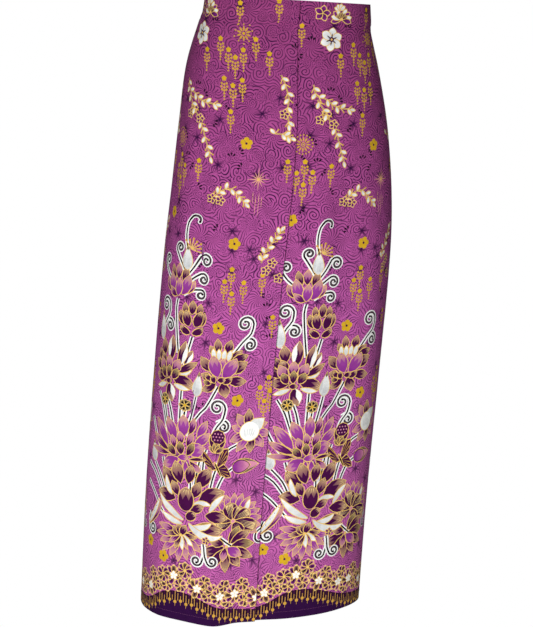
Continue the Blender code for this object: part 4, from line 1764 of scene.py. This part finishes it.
def printed_cotton(tonal_line):
    """Batik-printed cotton cambric: dyed and printed plain weave, matt with a faint nap."""
    material, tree, shader = new_material("batik-printed cotton cambric", COTTON)
    dye = add_node(tree, "ShaderNodeAttribute", {}, attribute_name="dye")
    cloth = add_node(tree, "ShaderNodeAttribute", {}, attribute_name="cloth").outputs["Vector"]
    down = add_node(tree, "ShaderNodeSeparateXYZ", {0: cloth}).outputs[1]
    strength = remapped(tree, down, 0.25, 0.75, TONAL_AT_WAIST, TONAL_AT_HEM)
    bare = maths(tree, "SUBTRACT", 1.0, dye.outputs["Alpha"])
    lines = maths(tree, "MULTIPLY", tonal_drawing(tree, cloth), maths(tree, "MULTIPLY", strength, bare))
    inks = {0: lines, 6: dye.outputs["Color"], 7: tonal_line}
    drawn = add_node(tree, "ShaderNodeMix", inks, data_type="RGBA")
    uneven = {"Vector": cloth, "Scale": 90.0, "Detail": 4.0, "Roughness": 0.65}
    cloud = add_node(tree, "ShaderNodeTexNoise", uneven).outputs[0]
    level = remapped(tree, cloud, 0.3, 0.7, 1.0 - MOTTLING, 1.0 + MOTTLING)
    mottled = vector_maths(tree, "MULTIPLY", drawn.outputs[2], level)
    tree.links.new(mottled, shader.inputs["Base Color"])
    tree.links.new(weave(tree, cloth), shader.inputs["Normal"])
    return material


def cotton_reverse():
    """The back of the print, where only part of the dye has come through: duller and paler."""
    material, tree, shader = new_material("reverse of printed cotton", COTTON)
    cloth = add_node(tree, "ShaderNodeAttribute", {}, attribute_name="cloth").outputs["Vector"]
    blots = add_node(tree, "ShaderNodeTexNoise", {"Vector": cloth, "Scale": 26.0, "Detail": 3.0})
    tones = tones_between(tree, blots.outputs[0], (linear("#6d3a66"), linear("#a9749f")), 0.36, 0.66)
    lines = maths(tree, "MULTIPLY", tonal_drawing(tree, cloth), TONAL_ON_REVERSE)
    drawn = add_node(tree, "ShaderNodeMix", {0: lines, 6: tones, 7: linear("#5d2f5a")}, data_type="RGBA")
    tree.links.new(drawn.outputs[2], shader.inputs["Base Color"])
    tree.links.new(weave(tree, cloth), shader.inputs["Normal"])
    return material


def sewing_thread(shaded_tone, lit_tone):
    """Mercerised sewing cotton, spun from two plies: a slight lustre, and a fine twist drawn as painted
    light and shade.
    """
    material, tree, shader = new_material("mercerised sewing cotton", {"Roughness": 0.55, "IOR": 1.5})
    where = add_node(tree, "ShaderNodeTexCoord", {}).outputs["Object"]
    twist = add_node(tree, "ShaderNodeTexNoise", {"Vector": where, "Scale": 1400.0})
    # Painted light and shade: the noise mixes the thread's shaded and lit tones in small patches along it
    tones = tones_between(tree, twist.outputs[0], (shaded_tone, lit_tone))
    tree.links.new(tones, shader.inputs["Base Color"])
    return material


def white_floor():
    """Matt white studio paper: even, with a faint fibre."""
    paper = {"Roughness": 0.9, "Emission Color": linear("#ffffff"), "Emission Strength": 0.3}
    material, tree, shader = new_material("matt white studio paper", paper)
    where = add_node(tree, "ShaderNodeTexCoord", {}).outputs["Object"]
    fibre = add_node(tree, "ShaderNodeTexNoise", {"Vector": where, "Scale": 300.0})
    tones = tones_between(tree, fibre.outputs[0], (linear("#e6e5e2"), linear("#f0efec")))
    tree.links.new(tones, shader.inputs["Base Color"])
    return material


GroundTone = namedtuple("GroundTone", "down colour")
GROUND_TONES = (
    GroundTone(0.0, "#963f77"),
    GroundTone(120.0, "#9c437f"),
    GroundTone(300.0, "#aa4d8f"),
    GroundTone(500.0, "#b7589f"),
    GroundTone(700.0, "#bf62a7"),
    GroundTone(990.0, "#b95c9f"),
)


def ground_colour(spots):
    """The ground's colour at places on the flat cloth, darker towards the waist."""
    downs = [tone.down for tone in GROUND_TONES]
    tones = np.array([shade(tone.colour) for tone in GROUND_TONES])
    return np.stack([np.interp(spots[..., 1], downs, tones[:, k]) for k in range(3)], axis=-1)


# A stitch is straight over the middle of its length. Its ends thin, and dip by a share of its thickness
STRAIGHT_HALF = 0.3
END_SIZE = 0.6
END_DIP = 0.55


def stitch_shape(length, thickness):
    """One stitch: a rod that thins and dips at both ends, made once and copied along each row."""
    bpy.ops.object.select_all(action="DESELECT")
    bpy.ops.mesh.primitive_cylinder_add(
        vertices=6, radius=0.5 * thickness, depth=length, rotation=(0.0, math.pi / 2.0, 0.0)
    )
    rod = bpy.context.object
    bpy.ops.object.transform_apply(location=False, rotation=True, scale=True)
    bpy.ops.object.mode_set(mode="EDIT")
    for cut in (-STRAIGHT_HALF * length, STRAIGHT_HALF * length):
        bpy.ops.mesh.select_all(action="SELECT")
        bpy.ops.mesh.bisect(plane_co=(cut, 0.0, 0.0), plane_no=(1.0, 0.0, 0.0))
    bpy.ops.object.mode_set(mode="OBJECT")
    for vert in rod.data.vertices:
        if abs(vert.co.x) > 0.4 * length:
            vert.co.y *= END_SIZE
            vert.co.z = vert.co.z * END_SIZE - END_DIP * thickness
    mesh = rod.data
    places = np.array([tuple(vert.co) for vert in mesh.vertices])
    faces = [tuple(face.vertices) for face in mesh.polygons]
    bpy.data.objects.remove(rod)
    bpy.data.meshes.remove(mesh)
    return places, faces


# Where the rows of stitches run, in mm on the flat cloth, and how far a stitch stands out, in metres
BAND_ROWS = (3.5, 32.375)
FROM_TURNED_EDGE = 2.0
ROW_INSET = 1.5
ROW_MARGIN = 2.0
ROW_STEP = 3.0
A_LITTLE_AHEAD = 0.4
STITCH_PROUD = 0.00012


def level_row(worn, down):
    """Places along a level row, from one edge of the stretch to the other."""
    left = float(np.interp(down, worn.rows, worn.left)) + ROW_INSET
    right = float(np.interp(down, worn.rows, worn.right)) - ROW_INSET
    across = np.arange(left, right, ROW_STEP)
    return np.column_stack((across, np.full(len(across), down)))


def stitch_row(worn, spots, pitch, shape):
    """Copies of the stitch along a row of places on the flat cloth."""
    spots = np.asarray(spots, float)
    run = np.concatenate(((0.0,), np.cumsum(np.linalg.norm(np.diff(spots, axis=0), axis=1))))
    marks = np.arange(ROW_MARGIN, run[-1] - ROW_MARGIN, pitch)
    across = np.interp(marks, run, spots[:, 0])
    down = np.interp(marks, run, spots[:, 1])
    here, out = worn.place(across, down)
    ahead = [np.interp(marks + A_LITTLE_AHEAD, run, spots[:, k]) for k in (0, 1)]
    along = worn.place(*ahead)[0] - here
    along /= np.linalg.norm(along, axis=1)[:, None]
    side = np.cross(out, along)
    places, faces = shape
    verts = here[:, None] + along[:, None] * places[:, 0, None] + side[:, None] * places[:, 1, None]
    verts = verts + out[:, None] * (places[:, 2, None] + STITCH_PROUD)
    count = len(places)
    joined = [tuple(v + count * k for v in face) for k in range(len(marks)) for face in faces]
    return verts.reshape(-1, 3), joined


def stitching(name, rows, material):
    """Rows of stitches joined in one piece."""
    places, faces = [], []
    for verts, joined in rows:
        start = sum(len(part) for part in places)
        places.append(verts)
        faces.extend(tuple(v + start for v in face) for face in joined)
    mesh = bpy.data.meshes.new(name)
    mesh.from_pydata(np.vstack(places).tolist(), [], faces)
    mesh.materials.append(material)
    mesh.shade_smooth()
    piece = bpy.data.objects.new(name, mesh)
    bpy.context.collection.objects.link(piece)
    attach(piece, "root")
    return piece


@lru_cache(maxsize=None)
def print_cutter():
    """The print ready for cutting, made once for all the stretches."""
    return PrintCutter(whole_print(), ground_colour)


@lru_cache(maxsize=None)
def cotton_sides():
    """The materials of the cloth's printed face and of its reverse, made once."""
    return printed_cotton(bpy.context.scene.sarong_cloth.tonal_line), cotton_reverse()


class SarongClothSettings(bpy.types.PropertyGroup):
    """Sizes and colours of the cloth and its sewing."""

    single: bpy.props.FloatProperty(
        name="Cloth", description="Thickness of one layer of the cloth",
        default=0.0006, precision=5, unit="LENGTH"
    )
    turned: bpy.props.FloatProperty(
        name="Turned edge", description="Thickness where an edge is turned in",
        default=0.0011, precision=5, unit="LENGTH"
    )
    band: bpy.props.FloatProperty(
        name="Waistband", description="Thickness of the turned band",
        default=0.0018, precision=5, unit="LENGTH"
    )
    stitch_length: bpy.props.FloatProperty(
        name="Stitch", description="Length of one machine stitch",
        default=0.0024, precision=5, unit="LENGTH"
    )
    stitch_pitch: bpy.props.FloatProperty(
        name="Stitch pitch", description="Distance between stitches",
        default=0.0031, precision=5, unit="LENGTH"
    )
    thread: bpy.props.FloatProperty(
        name="Thread", description="Thickness of the sewing thread",
        default=0.0004, precision=5, unit="LENGTH"
    )
    tonal_line: bpy.props.FloatVectorProperty(
        name="Tonal lines", description="Colour of the fine drawing on the ground",
        default=linear("#300639"), size=4, min=0.0, max=1.0, subtype="COLOR"
    )
    # The thread's painted shade and painted light, which the noise mixes along it
    thread_shaded: bpy.props.FloatVectorProperty(
        name="Thread, shaded", description="Darker tone of the twisted thread",
        default=linear("#5a2450"), size=4, min=0.0, max=1.0, subtype="COLOR"
    )
    thread_lit: bpy.props.FloatVectorProperty(
        name="Thread, lit", description="Lighter tone of the twisted thread",
        default=linear("#8a4a7c"), size=4, min=0.0, max=1.0, subtype="COLOR"
    )


class SarongStageSettings(bpy.types.PropertyGroup):
    """The floor, the light and the camera."""

    floor_drop: bpy.props.FloatProperty(
        name="Floor below hem", description="Distance from the hem down to the floor",
        default=0.30, unit="LENGTH"
    )
    fill: bpy.props.FloatProperty(
        name="Fill light", description="Strength of the light from all round", default=0.135
    )
    key_power: bpy.props.FloatProperty(
        name="Key light", description="Power of the soft light at the front", default=79.0, unit="POWER"
    )
    lens: bpy.props.FloatProperty(
        name="Lens", description="Focal length in mm on a 36 mm sensor", default=116.96
    )


class SARONG_OT_panels(bpy.types.Operator):
    """Lays the three printed panels on the worn form"""

    bl_idname = "sarong.panels"
    bl_label = "Cloth panels"

    def execute(self, context):
        sizes = context.scene.sarong_cloth
        cutter = print_cutter()
        materials = cotton_sides()
        for stretch in PANELS:
            worn = WornStretch(stretch)
            name = stretch.name + "_cloth"
            piece, size, area = worn_sheet(name, worn, cutter, sizes.single, sizes.turned, materials)
            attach(piece, "root")
            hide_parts(stretch.node)
        return {"FINISHED"}


class SARONG_OT_waistband(bpy.types.Operator):
    """Lays the turned waistband over the panels' top edges"""

    bl_idname = "sarong.waistband"
    bl_label = "Waistband"

    def execute(self, context):
        sizes = context.scene.sarong_cloth
        cutter = print_cutter()
        materials = cotton_sides()
        for stretch in BANDS:
            worn = WornStretch(stretch)
            name = stretch.name + "_cloth"
            piece, size, area = worn_sheet(name, worn, cutter, sizes.band, sizes.band, materials)
            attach(piece, "root")
            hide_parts(stretch.node)
        return {"FINISHED"}


class SARONG_OT_stitching(bpy.types.Operator):
    """Sews the waistband, the hem and the free edge"""

    bl_idname = "sarong.stitching"
    bl_label = "Stitching"

    def execute(self, context):
        sizes = context.scene.sarong_cloth
        shape = stitch_shape(sizes.stitch_length, sizes.thread)
        pitch = sizes.stitch_pitch * 1000.0
        thread = sewing_thread(sizes.thread_shaded, sizes.thread_lit)
        rows = []
        for stretch in BANDS:
            worn = WornStretch(stretch)
            for down in BAND_ROWS:
                rows.append(stitch_row(worn, level_row(worn, down), pitch, shape))
        piece = stitching("waistband_stitching", rows, thread)
        rows = []
        for stretch in PANELS:
            worn = WornStretch(stretch)
            hem = level_row(worn, CUT_LENGTH - TURNED_HEM + FROM_TURNED_EDGE)
            rows.append(stitch_row(worn, hem, pitch, shape))
            if stretch.node == "front_over_panel":
                lap = np.column_stack((worn.right - TURNED_EDGE + FROM_TURNED_EDGE, worn.rows))
                rows.append(stitch_row(worn, lap[1:-1], pitch, shape))
        piece = stitching("panel_stitching", rows, thread)
        return {"FINISHED"}


# Soft round lamps: where each hangs, how wide it is, and its share of the key light's power
Lamp = namedtuple("Lamp", "place size share")
LAMPS = (
    Lamp((-0.55, -2.90, -0.35), 0.9, 1.0),
    Lamp((2.40, -2.00, -0.30), 0.9, 0.10),
    Lamp((0.0, 2.9, 0.9), 2.2, 0.7),
)
LAMPS_AIM_AT = (0.0, 0.0, -0.5)
FLOOR_SIZE = 1.4
CAMERA_PLACE = (-0.005, -3.3, -0.010)
CAMERA_PITCH = 8.6
CAMERA_ROLL = 3.3
SENSOR = 36.0


class SARONG_OT_stage(bpy.types.Operator):
    """Sets the floor, the soft light and the camera"""

    bl_idname = "sarong.stage"
    bl_label = "Stage"

    def execute(self, context):
        settings = context.scene.sarong_stage
        bpy.ops.object.select_all(action="DESELECT")
        lowest = LENGTH + max(point.drop for point in HEM)
        place = (0.0, 0.0, -(lowest + settings.floor_drop))
        bpy.ops.mesh.primitive_plane_add(size=FLOOR_SIZE, location=place)
        floor = context.object
        floor.name = "studio_floor"
        floor.data.materials.append(white_floor())
        world = bpy.data.worlds.new("studio")
        context.scene.world = world
        world.use_nodes = True
        tree = world.node_tree
        tree.nodes.clear()
        white = (1.0, 1.0, 1.0, 1.0)
        seen = add_node(tree, "ShaderNodeBackground", {"Color": white, "Strength": 1.0})
        fill = add_node(tree, "ShaderNodeBackground", {"Color": white, "Strength": settings.fill})
        path = add_node(tree, "ShaderNodeLightPath", {})
        mixed = {0: path.outputs["Is Camera Ray"], 1: fill.outputs[0], 2: seen.outputs[0]}
        both = add_node(tree, "ShaderNodeMixShader", mixed)
        add_node(tree, "ShaderNodeOutputWorld", {"Surface": both.outputs[0]})
        for lamp in LAMPS:
            light = bpy.data.lights.new("soft light", "AREA")
            light.shape = "DISK"
            light.size = lamp.size
            light.energy = settings.key_power * lamp.share
            holder = bpy.data.objects.new("soft light", light)
            context.scene.collection.objects.link(holder)
            aim = Vector(LAMPS_AIM_AT) - Vector(lamp.place)
            turned = aim.to_track_quat("-Z", "Y").to_matrix().to_4x4()
            holder.matrix_world = Matrix.Translation(lamp.place) @ turned
        lens = bpy.data.cameras.new("camera")
        lens.sensor_fit = "VERTICAL"
        lens.sensor_height = SENSOR
        lens.lens = settings.lens
        lens.clip_end = 60.0
        camera = bpy.data.objects.new("camera", lens)
        context.scene.collection.objects.link(camera)
        camera.matrix_world = camera_matrix()
        context.scene.camera = camera
        context.scene.view_settings.view_transform = "Standard"
        return {"FINISHED"}


def camera_matrix():
    """The photograph's view: a little downwards, and rolled so that the hem leans to the left."""
    pitch, roll = math.radians(CAMERA_PITCH), math.radians(CAMERA_ROLL)
    ahead = Vector((0.0, math.cos(pitch), -math.sin(pitch)))
    level = Vector((1.0, 0.0, 0.0))
    upright = level.cross(ahead)
    right = level * math.cos(roll) + upright * math.sin(roll)
    up = upright * math.cos(roll) - level * math.sin(roll)
    turned = Matrix((right, up, -ahead)).transposed().to_4x4()
    return Matrix.Translation(CAMERA_PLACE) @ turned


class SARONG_PT_panel(bpy.types.Panel):
    """Lists the sarong's settings and the steps that make it"""

    bl_idname = "SARONG_PT_panel"
    bl_label = "Batik Wrap Sarong"
    bl_space_type = "VIEW_3D"
    bl_region_type = "UI"
    bl_category = "Sarong"

    def draw(self, context):
        for group in (context.scene.sarong_cloth, context.scene.sarong_stage):
            for name in group.bl_rna.properties.keys():
                if name not in ("rna_type", "name"):
                    self.layout.prop(group, name)
        for step in STEPS:
            self.layout.operator(step.bl_idname)


STEPS = (SARONG_OT_stage, SARONG_OT_panels, SARONG_OT_waistband, SARONG_OT_stitching)
CLASSES = (SarongClothSettings, SarongStageSettings) + STEPS + (SARONG_PT_panel,)


def register():
    for one in CLASSES:
        bpy.utils.register_class(one)
    bpy.types.Scene.sarong_cloth = bpy.props.PointerProperty(type=SarongClothSettings)
    bpy.types.Scene.sarong_stage = bpy.props.PointerProperty(type=SarongStageSettings)


def unregister():
    del bpy.types.Scene.sarong_stage
    del bpy.types.Scene.sarong_cloth
    for one in reversed(CLASSES):
        bpy.utils.unregister_class(one)


def main():
    register()
    bpy.ops.sarong.stage()
    bpy.ops.sarong.panels()
    bpy.ops.sarong.waistband()
    bpy.ops.sarong.stitching()


if __name__ == "__main__":
    main()
